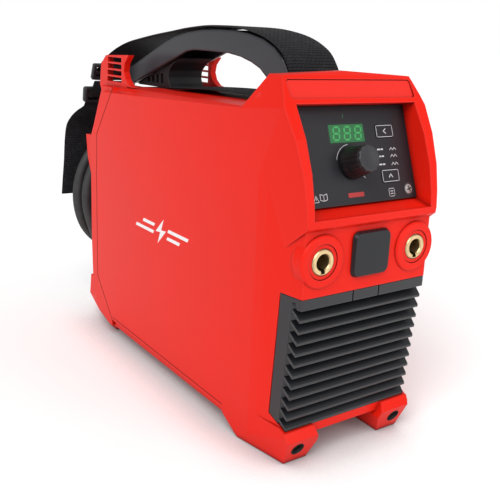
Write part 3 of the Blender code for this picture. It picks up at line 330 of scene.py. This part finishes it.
def webbing_material(name, colour):
    """Woven polyester: staggered rows of pillows with dark gaps. Uses UV in metres."""
    made, tree, shader = principled(name, colour, 0.7)
    shader.inputs["Specular IOR Level"].default_value = 0.14
    shader.inputs["Sheen Weight"].default_value = 0.02
    shader.inputs["Sheen Roughness"].default_value = 0.45
    rows = in_space(tree, node(
        tree, "ShaderNodeTexBrick", Scale=1.0, Brick_Width=0.0038, Row_Height=0.0026,
        Mortar_Size=0.0006, Mortar_Smooth=1.0,
    ), "UV")
    lint = noise(tree, 160.0, 5.0)
    yarn = noise(tree, 1500.0, 2.0)
    gaps = ramp(tree, rows.outputs["Fac"], shade(colour, 1.8), shade(colour, 0.25), 0.1, 0.9)
    dust = ramp(tree, lint.outputs["Fac"], (0.0, 0.0, 0.0), (0.030, 0.030, 0.032), 0.5, 0.85)
    tree.links.new(mixed(tree, gaps, dust, 0.5, "ADD"), shader.inputs["Base Color"])
    relief = node(tree, "ShaderNodeMath", operation="MULTIPLY_ADD")
    relief.inputs[1].default_value = 0.25
    tree.links.new(yarn.outputs["Fac"], relief.inputs[0])
    low = node(tree, "ShaderNodeMath", operation="SUBTRACT")
    low.inputs[0].default_value = 1.0
    tree.links.new(rows.outputs["Fac"], low.inputs[1])
    tree.links.new(low.outputs[0], relief.inputs[2])
    bump(tree, shader, relief.outputs[0], 0.9, 0.0007)
    return made


def rubber_material(name, colour, roughness=0.62):
    """Rubber or a cable's sheath: dull, with a little dust."""
    made, tree, shader = principled(name, colour, roughness)
    cloud = noise(tree, 60.0, 5.0)
    base = ramp(tree, cloud.outputs["Fac"], shade(colour, 0.7), shade(colour, 1.9))
    tree.links.new(base, shader.inputs["Base Color"])
    fine = noise(tree, 700.0, 2.0)
    bump(tree, shader, fine.outputs["Fac"], 0.12, 0.0002, 0.0004)
    return made


def glow_material(name, colour, strength, base=(0.01, 0.03, 0.01)):
    """A lit segment."""
    made, tree, shader = principled(name, base, 0.4)
    shader.inputs["Emission Color"].default_value = (*colour, 1.0)
    shader.inputs["Emission Strength"].default_value = strength
    return made


def print_material(name, colour):
    """Screen-printed ink."""
    made, tree, shader = principled(name, colour, 0.5)
    cloud = noise(tree, 400.0, 2.0)
    base = ramp(tree, cloud.outputs["Fac"], shade(colour, 0.9), colour)
    tree.links.new(base, shader.inputs["Base Color"])
    return made


RED = (0.70, 0.013, 0.005)
BADGE_RED = (0.36, 0.012, 0.012)
# The dark red of the painted shade in the lines on the sides.
SEAM_SHADOW_RED = (0.13, 0.002, 0.001)
BLACK = (0.014, 0.014, 0.016)
WEBBING_BLACK = (0.0085, 0.0085, 0.010)
SHEATH_BLACK = (0.018, 0.018, 0.019)
KNOB_BLACK = (0.007, 0.007, 0.008)
HANDLE_GREY = (0.022, 0.023, 0.030)
GRILLE_GREY = (0.010, 0.0105, 0.013)
PANEL_GREY = (0.017, 0.017, 0.021)
BRASS = (0.74, 0.55, 0.30)
STEEL = (0.62, 0.62, 0.64)
PALE_METAL = (0.72, 0.73, 0.74)
PRINT = (0.52, 0.52, 0.54)
SIDE_PRINT = (0.80, 0.78, 0.78)


def cover(material, *names):
    """Gives CAD nodes one material."""
    for name in names:
        slots = NODES[name].data.materials
        slots.clear()
        slots.append(material)


# ---------------------------------------------------------------- mesh helpers


def smooth_mesh(mesh):
    """Shades a mesh smooth between its sharp edges."""
    mesh.polygons.foreach_set("use_smooth", [True] * len(mesh.polygons))
    mesh.set_sharp_from_angle(angle=SHARP_ANGLE)


def mesh_object(name, bm, material, smooth=False):
    """Turns a bmesh in metres into an object."""
    mesh = bpy.data.meshes.new(name)
    bm.to_mesh(mesh)
    bm.free()
    mesh.materials.append(material)
    if smooth:
        smooth_mesh(mesh)
    obj = bpy.data.objects.new(name, mesh)
    bpy.context.scene.collection.objects.link(obj)
    return obj


def lathe(name, profile, matrix, material, steps=48, body="housing", lobes=0):
    """A round piece from (radius, height) points in millimetres; its axis is the matrix's -Y.

    A third number in a point is how deep the lobes are there.
    """
    bm = bmesh.new()
    rings = []
    for radius, height, *depth in profile:
        if radius < 1e-6:
            rings.append([bm.verts.new(matrix @ Vector((0.0, -height * MM, 0.0)))])
            continue
        ring = []
        for step in range(steps):
            angle = 2 * math.pi * step / steps
            reach = radius + (depth[0] * math.cos(lobes * angle) if depth else 0.0)
            corner = Vector((reach * math.cos(angle), -height, reach * math.sin(angle))) * MM
            ring.append(bm.verts.new(matrix @ corner))
        rings.append(ring)
    for low, high in zip(rings, rings[1:]):
        join_rings(bm, low, high)
    bmesh.ops.recalc_face_normals(bm, faces=bm.faces[:])
    obj = mesh_object(name, bm, material, smooth=True)
    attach(obj, body)
    return obj


def join_rings(bm, low, high):
    """Faces between two rings, either of which may be one point."""
    count = max(len(low), len(high))
    for index in range(count):
        follow = (index + 1) % count
        if len(low) == 1 and len(high) == 1:
            return
        if len(low) == 1:
            bm.faces.new((low[0], high[follow], high[index]))
        elif len(high) == 1:
            bm.faces.new((low[index], low[follow], high[0]))
        else:
            bm.faces.new((low[index], low[follow], high[follow], high[index]))


def swept(name, path, radius, sides, material):
    """A round bar along points, all in metres."""
    bm = bmesh.new()
    rings = []
    normal = None
    for index, point in enumerate(path):
        ahead = path[min(index + 1, len(path) - 1)] - path[max(index - 1, 0)]
        ahead.normalize()
        if normal is None:
            normal = ahead.orthogonal().normalized()
        normal = (normal - ahead * normal.dot(ahead)).normalized()
        other = ahead.cross(normal)
        ring = []
        for step in range(sides):
            angle = 2 * math.pi * step / sides
            out = math.cos(angle) * normal + math.sin(angle) * other
            ring.append(bm.verts.new(point + radius * out))
        rings.append(ring)
    for low, high in zip(rings, rings[1:]):
        join_rings(bm, low, high)
    bm.faces.new(rings[0][::-1])
    bm.faces.new(rings[-1])
    bmesh.ops.recalc_face_normals(bm, faces=bm.faces[:])
    return mesh_object(name, bm, material, smooth=True)


CURVE_STEPS = 24


def smooth_path(points, spacing):
    """Evenly spaced points on the smooth curve through the given points."""
    fine = []
    ends = [2 * points[0] - points[1], *points, 2 * points[-1] - points[-2]]
    for index in range(1, len(ends) - 2):
        a, b, c, d = ends[index - 1:index + 3]
        for step in range(CURVE_STEPS):
            t = step / CURVE_STEPS
            fine.append(0.5 * (2 * b + (c - a) * t + (2 * a - 5 * b + 4 * c - d) * t * t
                               + (3 * b - a - 3 * c + d) * t ** 3))
    fine.append(points[-1])
    lengths = [0.0]
    for first, second in zip(fine, fine[1:]):
        lengths.append(lengths[-1] + (second - first).length)
    count = max(2, round(lengths[-1] / spacing))
    found = []
    place = 0
    for step in range(count + 1):
        goal = lengths[-1] * step / count
        while place < len(fine) - 2 and lengths[place + 1] < goal:
            place += 1
        run = lengths[place + 1] - lengths[place]
        share = (goal - lengths[place]) / run if run else 0.0
        found.append(fine[place].lerp(fine[place + 1], share))
    return found


# ---------------------------------------------------------------- mains cable

# The cable's diameter and the step along it are in metres.
CABLE_D = 0.011
CABLE_SPACING = 0.006
CABLE_SIDES = 16
# Where the cable leaves its sleeve, which hangs from the gland.
CABLE_OUT_X = -42.0
CABLE_OUT_Y = 363.6
CABLE_FOOT_Z = 160.0
COIL_X = 16.0
COIL_Y = 389.5
COIL_Z = 124.0
# Where the turns lie in the coil, as (radius, depth), and the angle from which each one passes
# into the next and over how many degrees.
SLOTS = ((71.0, -11.0), (76.6, 0.0), (71.0, 11.0), (65.2, 0.0))
CROSSING_START = 195.0
CROSSING_RUN = 50.0
# The lead: straight down, then round a bend to the angle at which it joins the coil.
LEAD_DROP = 22.0
LEAD_BEND_R = 52.0
LEAD_BEND_X = 10.0
LEAD_BEND_Z = 106.0
LEAD_RUN = 87.0
LEAD_JOINS = 251.6
# The tail: off the coil at an angle, and round a bend to the plug.
TAIL_LEAVES = 150.0
COIL_ENDS = 4 * 360.0 + TAIL_LEAVES
TAIL_BEND_R = 45.0
TAIL_BEND_X = -1.5
TAIL_BEND_Z = 134.1
TAIL_ENDS = 284.5


def ease(t):
    """An even start and stop between 0 and 1."""
    t = min(1.0, max(0.0, t))
    return t * t * (3.0 - 2.0 * t)


def lead_point(run):
    """A point this far along the way from above the coil down into it."""
    y = CABLE_OUT_Y + (COIL_Y + SLOTS[0][1] - CABLE_OUT_Y) * ease(run / LEAD_RUN)
    if run < LEAD_DROP:
        return at(CABLE_OUT_X, y, LEAD_BEND_Z + LEAD_DROP - run)
    turn = math.pi + (run - LEAD_DROP) / LEAD_BEND_R
    x = LEAD_BEND_X + LEAD_BEND_R * math.cos(turn)
    return at(x, y, LEAD_BEND_Z + LEAD_BEND_R * math.sin(turn))


def coil_point(angle):
    """A point in the winding, at an angle that counts up through its turns."""
    crossings = max(0.0, (angle - CROSSING_START - 360.0) / 360.0)
    slot = min(int(crossings), len(SLOTS) - 2)
    share = ease((crossings - slot) * 360.0 / CROSSING_RUN)
    low, high = SLOTS[slot], SLOTS[slot + 1]
    radius = low[0] + (high[0] - low[0]) * share
    depth = low[1] + (high[1] - low[1]) * share
    turn = math.radians(angle)
    return at(COIL_X + radius * math.cos(turn), COIL_Y + depth, COIL_Z + radius * math.sin(turn))


def cable_points():
    """The whole cable: out of its sleeve, down into the coil, round it, and to the plug."""
    points = [at(CABLE_OUT_X, CABLE_OUT_Y, CABLE_FOOT_Z - 0.5 - 8.0 * step) for step in range(4)]
    points += [lead_point(LEAD_RUN * step / 14) for step in range(14)]
    for step in range(181):
        points.append(coil_point(LEAD_JOINS + (COIL_ENDS - LEAD_JOINS) * step / 180))
    for step in range(1, 19):
        turn = math.radians(TAIL_LEAVES + (TAIL_ENDS - TAIL_LEAVES) * step / 18)
        x = TAIL_BEND_X + TAIL_BEND_R * math.cos(turn)
        points.append(at(x, COIL_Y, TAIL_BEND_Z + TAIL_BEND_R * math.sin(turn)))
    return points


def mains_cable():
    """The cable with its sleeve, running to the plug."""
    path = smooth_path(cable_points(), CABLE_SPACING)
    sheath = rubber_material("lead_sheath", SHEATH_BLACK)
    cable = swept("mains_lead", path, CABLE_D / 2, CABLE_SIDES, sheath)
    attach(cable, "housing")
    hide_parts("mains_cable", "mains_cable_tail", "mains_coil")
    sleeve = strain_relief()


def strain_relief():
    """The tapered sleeve, ribbed so that it bends with the cable."""
    profile = [(5.7, 0.3), (7.8, 0.3), (7.8, 6.5)]
    for rib in range(6):
        height = 7.0 + rib * 4.0
        wide = 7.5 - rib * 0.13
        profile += [
            (wide - 1.0, height), (wide - 1.0, height + 1.2),
            (wide, height + 1.5), (wide, height + 3.7),
        ]
    profile += [(6.8, 31.4), (6.2, 31.9), (5.7, 31.9), (5.7, 0.3)]
    foot = Matrix.Translation(at(CABLE_OUT_X, CABLE_OUT_Y, CABLE_FOOT_Z))
    matrix = foot @ Matrix.Rotation(math.radians(90.0), 4, "X")
    sleeve = lathe("lead_sleeve", profile, matrix, rubber_material("sleeve_rubber", BLACK))
    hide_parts("strain_relief")
    return sleeve


# ---------------------------------------------------------------- webbing


def ribbon(name, points, material, node_name):
    """A woven band along points in metres: soft edges, a groove by each edge, UV in metres."""
    section = []
    for step in range(13):
        across = -1.0 + step / 6.0
        round_off = math.sqrt(max(0.0, 1.0 - max(0.0, abs(across) - 0.9) ** 2 / 0.0101))
        groove = 0.12 if 0.78 < abs(across) < 0.92 else 0.0
        half = STRAP_THICKNESS / 2 * (0.25 + 0.75 * round_off) * (1.0 - groove)
        section.append((across * STRAP_WIDTH / 2, half))
    bm = bmesh.new()
    layer = bm.loops.layers.uv.new("band")
    rings = []
    along = [0.0]
    for first, second in zip(points, points[1:]):
        along.append(along[-1] + (second - first).length)
    for index, point in enumerate(points):
        ahead = points[min(index + 1, len(points) - 1)] - points[max(index - 1, 0)]
        ahead.x = 0.0
        ahead.normalize()
        normal = Vector((0.0, -ahead.z, ahead.y))
        upper = [point + Vector((x, 0.0, 0.0)) + normal * half for x, half in section]
        lower = [point + Vector((x, 0.0, 0.0)) - normal * half for x, half in section[::-1]]
        rings.append([bm.verts.new(corner) for corner in upper + lower])
    count = len(rings[0])
    for index, (low, high) in enumerate(zip(rings, rings[1:])):
        for side in range(count):
            follow = (side + 1) % count
            face = bm.faces.new((low[side], low[follow], high[follow], high[side]))
            spots = (
                (low[side], index), (low[follow], index),
                (high[follow], index + 1), (high[side], index + 1),
            )
            for loop, (vert, place) in zip(face.loops, spots):
                loop[layer].uv = (vert.co.x, along[place])
    bm.faces.new(rings[0][::-1])
    bm.faces.new(rings[-1])
    bmesh.ops.recalc_face_normals(bm, faces=bm.faces[:])
    obj = mesh_object(name, bm, material, smooth=True)
    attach(obj, "housing")
    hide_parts(node_name)
    return obj, along[-1]


# The middle lines of the bands, as (x, y, z).
STRAP_UPPER = (
    (0.0, 71.2, 250.0), (0.0, 72.0, 262.0), (0.0, 74.6, 270.5), (0.0, 79.5, 279.0),
    (0.0, 87.4, 287.6), (0.0, 98.0, 293.4), (0.0, 112.0, 298.3), (0.0, 130.0, 301.9),
    (0.0, 150.0, 303.9), (0.0, 175.0, 304.5), (0.0, 200.0, 304.2), (0.0, 226.0, 302.2),
    (0.0, 250.0, 299.4), (0.0, 280.0, 296.0), (0.0, 310.0, 292.0), (-2.0, 336.0, 287.4),
    (-6.0, 354.0, 281.0), (-12.0, 365.0, 272.6), (-16.0, 369.6, 266.0), (-18.0, 373.6, 260.4),
    (-19.0, 378.6, 258.6), (-19.6, 379.2, 256.4), (-20.5, 377.2, 252.8), (-21.2, 376.0, 248.0),
)
STRAP_LOWER = (
    (0.0, 98.0, 252.6), (0.0, 120.0, 253.6), (0.0, 150.0, 254.0), (0.0, 180.0, 253.6),
    (0.0, 210.0, 252.4), (0.0, 235.0, 250.9), (0.0, 258.0, 249.3),
)
CABLE_STRAP = (
    (-21.4, 376.0, 247.0), (-24.0, 377.0, 239.0), (-25.5, 378.6, 233.6), (-27.0, 383.2, 229.7),
    (-27.6, 386.4, 225.5), (-28.6, 388.8, 220.4), (-33.0, 396.0, 215.0), (-37.0, 404.0, 207.5),
    (-40.5, 408.4, 198.0), (-42.5, 409.4, 182.0), (-44.0, 409.6, 160.0), (-46.0, 409.6, 140.0),
    (-47.5, 409.4, 124.0),
)
# In metres.
STRAP_WIDTH = 0.047
STRAP_THICKNESS = 0.0021
STRAP_SPACING = 0.002


def webbing():
    """The carrying strap: over the handle, under it on the deck, and down behind the coil."""
    weave = webbing_material("webbing_black", WEBBING_BLACK)
    runs = (
        ("web_over_handle", STRAP_UPPER, "stretched", "strap_upper", "handle"),
        ("web_on_deck", STRAP_LOWER, "laid", "strap_lower", "main_housing"),
        ("web_behind_coil", CABLE_STRAP, "hung", "cable_strap", "strap_buckle"),
    )
    for name, route, held, node_name, rest in runs:
        path = smooth_path([at(*point) for point in route], STRAP_SPACING)
        band, length = ribbon(name, path, weave, node_name)


# ---------------------------------------------------------------- control panel


KNOB_PLACE = (-4.5, -6.0)
SCREW_PLACE = (47.4, -28.0)


def plates(name, shapes, matrix, material, body="housing", low=0.02, high=0.09):
    """Thin raised shapes, such as print, from closed (x, w) outlines in millimetres."""
    bm = bmesh.new()
    for outline in shapes:
        area = sum(a[0] * b[1] - b[0] * a[1] for a, b in zip(outline, outline[1:] + outline[:1]))
        ring = outline if area > 0 else outline[::-1]
        back = [bm.verts.new(matrix @ (Vector((x, -low, w)) * MM)) for x, w in ring]
        front = [bm.verts.new(matrix @ (Vector((x, -high, w)) * MM)) for x, w in ring]
        bm.faces.new(front)
        bm.faces.new(back[::-1])
        for index in range(len(ring)):
            follow = (index + 1) % len(ring)
            bm.faces.new((back[index], back[follow], front[follow], front[index]))
    bmesh.ops.recalc_face_normals(bm, faces=bm.faces[:])
    obj = mesh_object(name, bm, material)
    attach(obj, body)
    return obj


def stroke(points, width, closed=False):
    """Closed outlines that draw a line of some width through points."""
    shapes = []
    ends = points[1:] + points[:1] if closed else points[1:]
    for (x0, w0), (x1, w1) in zip(points, ends):
        run = math.hypot(x1 - x0, w1 - w0)
        along = ((x1 - x0) / run * width / 4, (w1 - w0) / run * width / 4)
        side = (-along[1] * 2, along[0] * 2)
        shapes.append([
            (x0 - along[0] + side[0], w0 - along[1] + side[1]),
            (x0 - along[0] - side[0], w0 - along[1] - side[1]),
            (x1 + along[0] - side[0], w1 + along[1] - side[1]),
            (x1 + along[0] + side[0], w1 + along[1] + side[1]),
        ])
    return shapes


def arc(x, w, radius, start, end, steps=20):
    """Points on an arc, in degrees."""
    turns = [math.radians(start + (end - start) * step / steps) for step in range(steps + 1)]
    return [(x + radius * math.cos(turn), w + radius * math.sin(turn)) for turn in turns]


def rounded_box(x, w, width, height, radius, steps=4):
    """Corner points of a rectangle with round corners."""
    points = []
    for corner, (sx, sw) in enumerate(((1, 1), (-1, 1), (-1, -1), (1, -1))):
        centre = (x + sx * (width / 2 - radius), w + sw * (height / 2 - radius))
        points += arc(*centre, radius, 90.0 * corner, 90.0 * corner + 90.0, steps)
    return points


FIGURE_START = (-17.4, 10.6)
FIGURE_PITCH = 10.0
FIGURE_SIZE = (5.4, 9.0)
FIGURE_LEAN = 1.1
BAR_HALF = 0.65
# The seven bars of a figure, as their ends in shares of its size.
SEGMENTS = (
    ((0.0, 1.0), (1.0, 1.0)), ((1.0, 1.0), (1.0, 0.5)), ((1.0, 0.5), (1.0, 0.0)),
    ((1.0, 0.0), (0.0, 0.0)), ((0.0, 0.0), (0.0, 0.5)), ((0.0, 0.5), (0.0, 1.0)),
    ((0.0, 0.5), (1.0, 0.5)),
)


def segment(x, w, ends):
    """One bar of a figure: a long hexagon that leans a little."""
    (ax, aw), (bx, bw) = ends
    wide, tall = FIGURE_SIZE
    start = (x + ax * wide + aw * FIGURE_LEAN, w + aw * tall)
    end = (x + bx * wide + bw * FIGURE_LEAN, w + bw * tall)
    run = math.hypot(end[0] - start[0], end[1] - start[1])
    ux, uw = (end[0] - start[0]) / run, (end[1] - start[1]) / run
    corners = (
        (0.4, 0.0), (1.0, BAR_HALF), (run - 1.0, BAR_HALF),
        (run - 0.4, 0.0), (run - 1.0, -BAR_HALF), (1.0, -BAR_HALF),
    )
    return [
        (start[0] + ux * along - uw * side, start[1] + uw * along + ux * side)
        for along, side in corners
    ]


def display():
    """Three figures with all their bars lit, and the faint indicator above them."""
    matrix = panel_matrix()
    lit = glow_material("figure_green", (0.035, 0.36, 0.09), 1.0)
    x, w = FIGURE_START
    bars = [segment(x + place * FIGURE_PITCH, w, ends) for place in range(3) for ends in SEGMENTS]
    plates("figures", bars, matrix, lit, low=0.07, high=0.13)
    dim = glow_material("indicator_green", (0.02, 0.16, 0.05), 0.4)
    plates("power_indicator", stroke([(-6.6, 25.8), (-5.6, 28.2)], 0.7), matrix, dim)


def panel_print():
    """The pale marks on the control panel, with generic signs only."""
    matrix = panel_matrix()
    ink = print_material("panel_ink", PRINT)
    marks = stroke(arc(*KNOB_PLACE, 13.3, 95.0, 165.0), 0.45)
    marks += stroke([(5.4, -15.9), (6.4, -17.0)], 0.6)
    for w in (2.3, -2.8, -8.6):
        marks += stroke([(22.0, w), (24.2, w)], 1.1) + stroke([(25.4, w), (27.2, w)], 1.1)
        wave = [(34.0 + 1.6 * turn, w + (0.9 if turn % 2 else -0.9)) for turn in range(5)]
        marks += stroke(wave, 0.45)
    marks += stroke(rounded_box(29.8, -29.2, 5.2, 5.6, 0.8), 0.4, closed=True)
    for w in (-28.3, -30.1):
        marks += stroke([(28.7, w), (30.9, w)], 0.6)
    book = [
        (-37.0, -25.4), (-34.0, -26.2), (-31.0, -25.4),
        (-31.0, -29.4), (-34.0, -30.2), (-37.0, -29.4),
    ]
    marks += stroke(book, 0.45, closed=True) + stroke([(-34.0, -26.2), (-34.0, -30.2)], 0.4)
    marks += stroke([(-43.2, -30.6), (-38.4, -30.6), (-40.8, -26.2)], 0.45, closed=True)
    marks += stroke([(-40.8, -27.6), (-40.8, -29.2)], 0.45)
    for w in (3.0, -6.0):
        marks += stroke([(-51.0, w), (-49.0, w + 1.0)], 0.5)
    plates("panel_marks", marks, matrix, ink)
    badge = moulded("badge_red", BADGE_RED, 0.4, rounding=0.0)
    bar = rounded_box(KNOB_PLACE[0], -28.2, 14.6, 3.2, 0.4)
    plates("panel_badge", [bar], matrix, badge)
    for name, x, w, points in (
        ("process_key", 31.2, 15.3, [(1.2, 1.7), (-1.2, 0.0), (1.2, -1.7)]),
        ("mode_key", 30.8, -17.2, [(-1.7, -1.1), (0.0, 1.2), (1.7, -1.1)]),
    ):
        shapes = stroke([(x + dx, w + dw) for dx, dw in points], 0.7)
        shapes += stroke(rounded_box(x, w, 15.8, 8.2, 1.0), 0.4, closed=True)
        plates(name + "_mark", shapes, matrix, ink, body=name, low=0.5, high=0.56)


def knob():
    """The turning knob: a fluted black skirt and a grey lobed cap with a soft dish."""
    matrix = panel_matrix(*KNOB_PLACE)
    gloss = moulded("knob_gloss", KNOB_BLACK, 0.34, rounding=0.0004, level=0.4)
    skirt = lathe("knob_skirt", (
        (3.4, 0.5), (11.2, 0.5), (11.6, 1.0), (11.5, 3.4, 0.05), (10.9, 4.6, 0.12),
        (10.5, 6.0, 0.2), (9.4, 15.8, 0.2), (9.0, 16.6, 0.1), (3.4, 16.6), (3.4, 0.5),
    ), matrix, gloss, 160, "knob", lobes=20)
    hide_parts("control_knob")
    grey = moulded("cap_grey", (0.030, 0.030, 0.033), 0.4, rounding=0.0004)
    cap = lathe("knob_top", (
        (0.0, 16.9), (8.9, 16.9, 0.2), (9.2, 17.3, 0.25), (9.1, 18.4, 0.25), (8.5, 18.95, 0.2),
        (6.5, 18.9), (4.0, 18.5), (0.0, 18.3),
    ), matrix, grey, 144, "knob", lobes=12)
    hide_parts("knob_cap")


# ---------------------------------------------------------------- small details

SIDES = (("left", -1), ("right", 1))
MARK_PLACE = (191.0, 133.5)


def side_frame(side, y, z):
    """The frame at a point of one side of the housing, with -Y out of it."""
    turn = Matrix.Rotation(math.radians(side * 90.0), 4, "Z")
    return Matrix.Translation(at(side * SIDE_X, y, z)) @ turn


def side_mark():
    """A pale spark between plain bars on each side, as a generic sign for welding."""
    ink = print_material("side_ink", SIDE_PRINT)
    spark = [(5.2, 11.7), (-9.1, -1.6), (-0.8, -0.8), (-5.5, -11.7), (9.6, 2.1), (1.0, 1.3)]
    shapes = [[spark[0], spark[1], spark[2], spark[5]], [spark[2], spark[3], spark[4], spark[5]]]
    for way in (-1, 1):
        for w, inner, outer in ((3.4, 13.0, 47.0), (-3.4, 11.5, 33.0)):
            bar = (
                (inner - 1.0, w - 1.5), (outer - 1.0, w - 1.5),
                (outer + 1.0, w + 1.5), (inner + 1.0, w + 1.5),
            )
            shapes.append([(way * x, way * z) for x, z in bar])
    for tag, side in SIDES:
        matrix = side_frame(side, *MARK_PLACE)
        plates("side_mark_" + tag, shapes, matrix, ink, low=0.0, high=0.06)


# The lines on the sides that carry strips of painted shade, as (y, z).
SEAM = ((286.8, 247.2), (325.4, 199.9), (327.4, 155.1), (328.6, 53.8), (293.6, 15.8))
LOWER_EDGE = ((86.5, 17.6), (200.0, 18.2), (292.0, 19.0))


def seam_shadows():
    """Dark strips of painted shade on both sides: the shadow gap at the rear frame and the line
    along the rolled edge at the bottom.
    """
    gap = moulded("seam_painted_shade", SEAM_SHADOW_RED, 0.8, rounding=0.0, reach=0.0005, level=0.0)
    for tag, side in SIDES:
        shapes = stroke([(side * y, z) for y, z in SEAM], 0.9)
        shapes += stroke([(side * y, z) for y, z in LOWER_EDGE], 0.7)
        matrix = side_frame(side, 0.0, 0.0)
        plates("seam_" + tag, shapes, matrix, gap, low=-0.05, high=0.04)


def panel_screw():
    """The cross-recess screw of the control panel; its cross recess and the well round its head are
    near-black pieces of painted shade.
    """
    matrix = panel_matrix(*SCREW_PLACE)
    steel = moulded("screw_bright", (0.27, 0.26, 0.25), 0.3, rounding=0.0, level=0.8)
    head = lathe("panel_screw_head", (
        (0.0, -1.9), (3.9, -1.9), (4.0, -0.5), (3.4, 0.15), (2.0, 0.42), (0.0, 0.5),
    ), matrix, steel, 32)
    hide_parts("panel_screw")
    dark = moulded("well_painted_shade", (0.006, 0.006, 0.007), 0.6, rounding=0.0)
    cross = stroke([(-1.9, -0.6), (1.9, 0.6)], 0.9) + stroke([(-0.6, 1.9), (0.6, -1.9)], 0.9)
    plates("panel_screw_cross", cross, matrix, dark, low=0.3, high=0.56)
    well = lathe("panel_screw_well", (
        (4.15, 0.02), (5.2, 0.02), (5.2, 0.10), (4.15, 0.16), (4.15, 0.02),
    ), matrix, dark, 32)


# The mouth of the hole in a front foot, and how far its axis leans.
FOOT_X = 48.2
FOOT_Y = 10.4
FOOT_Z = 12.6
FOOT_TILT = math.radians(22.5)


def foot_screws():
    """The screws sunk in the holes of the front feet, each in its dark bush."""
    head = moulded("foot_screw_bronze", (0.13, 0.09, 0.06), 0.35, rounding=0.0003, level=0.7)
    bush = moulded("foot_bush_black", (0.010, 0.009, 0.009), 0.6, rounding=0.0, level=0.2)
    for tag, side in SIDES:
        place = Matrix.Translation(at(side * FOOT_X, FOOT_Y, FOOT_Z))
        place = place @ Matrix.Rotation(FOOT_TILT, 4, "X")
        lining = lathe("foot_bush_" + tag, (
            (4.9, -11.0), (5.57, -11.0), (5.57, 0.6), (5.3, 0.9), (4.9, -1.0), (4.9, -11.0),
        ), place, bush, 32)
        screw = lathe("foot_screw_" + tag, (
            (0.0, -9.0), (4.7, -9.0), (4.7, -5.5), (3.6, -3.4), (3.4, -2.8), (1.9, -2.6),
            (1.7, -4.4), (0.0, -4.4),
        ), place, head, 24)


# ---------------------------------------------------------------- CAD nodes

REAR_SCREWS = ("rear_screw_1", "rear_screw_2", "rear_screw_3", "rear_screw_4")


def smooth_nodes(*names):
    """Shades curved CAD nodes smooth between their sharp edges."""
    for name in names:
        smooth_mesh(NODES[name].data)


def node_materials():
    """Materials for the CAD nodes that stay."""
    red = moulded("shell_red", RED, 0.33, level=0.12)
    cover(red, "main_housing", "rear_frame", "base_plate", "name_plate")
    cover(red, "insulator_left", "insulator_right")
    cover(moulded("grille_black", GRILLE_GREY, 0.30, level=0.5), "front_grille", "rear_grille")
    cover(moulded("cover_black", GRILLE_GREY, 0.34, rounding=0.0006), "blanking_cover")
    film = moulded("panel_film", PANEL_GREY, 0.36, relief=0.05, rounding=0.0003, level=0.25)
    cover(film, "control_panel", "process_key", "mode_key")
    grip = moulded("handle_grey", HANDLE_GREY, 0.30, relief=0.08, rounding=0.003, level=0.45)
    cover(grip, "handle")
    cover(moulded("insert_black", BLACK, 0.5, rounding=0.0006), "handle_insert")
    cover(turned_metal("brass_turned", BRASS, 0.40), "socket_left", "socket_right")
    black = moulded("parts_black", BLACK, 0.4, rounding=0.0006)
    cover(black, "strap_slider", "strap_buckle", "fan_frame", "fan_rotor", "switch_bezel",
          "cable_gland", "capacitor_front", "capacitor_rear")
    rocker = moulded("rocker_black", (0.02, 0.02, 0.022), 0.25, rounding=0.0006, level=0.5)
    cover(rocker, "mains_rocker")
    cover(rubber_material("plug_rubber", (0.020, 0.020, 0.021), 0.55), "mains_plug")
    plated = drawn_metal("steel_plated", STEEL, 0.3)
    cover(plated, *REAR_SCREWS, "plug_pin_left", "plug_pin_right")
    window = glow_material("window_green", (0.010, 0.115, 0.032), 0.75, (0.004, 0.05, 0.014))
    cover(window, "display_window")
    cover(moulded("display_dark", (0.012, 0.02, 0.013), 0.4), "display_module")
    cover(drawn_metal("encoder_metal", PALE_METAL, 0.35), "encoder")
    cover(board_material("board_green", (0.012, 0.10, 0.035)), "control_board", "power_board")
    cover(drawn_metal("heat_sink_metal", PALE_METAL, 0.4), "heatsink_left", "heatsink_right")
    cover(drawn_metal("busbar_copper", (0.75, 0.33, 0.18), 0.3), "busbar_left", "busbar_right")
    cover(wound_copper("winding_copper", (0.62, 0.24, 0.10)), "transformer_winding", "output_choke")
    cover(moulded("ferrite", (0.03, 0.03, 0.032), 0.6, relief=0.3), "transformer_core")
    smooth_nodes("handle", "mains_plug", "socket_left", "socket_right", "strap_slider", "fan_rotor",
                 "cable_gland", "plug_pin_left", "plug_pin_right", "encoder", "output_choke",
                 "capacitor_front", "capacitor_rear", *REAR_SCREWS)


camera()
studio()
mains_cable()
webbing()
node_materials()
knob()
display()
panel_print()
panel_screw()
seam_shadows()
side_mark()
foot_screws()
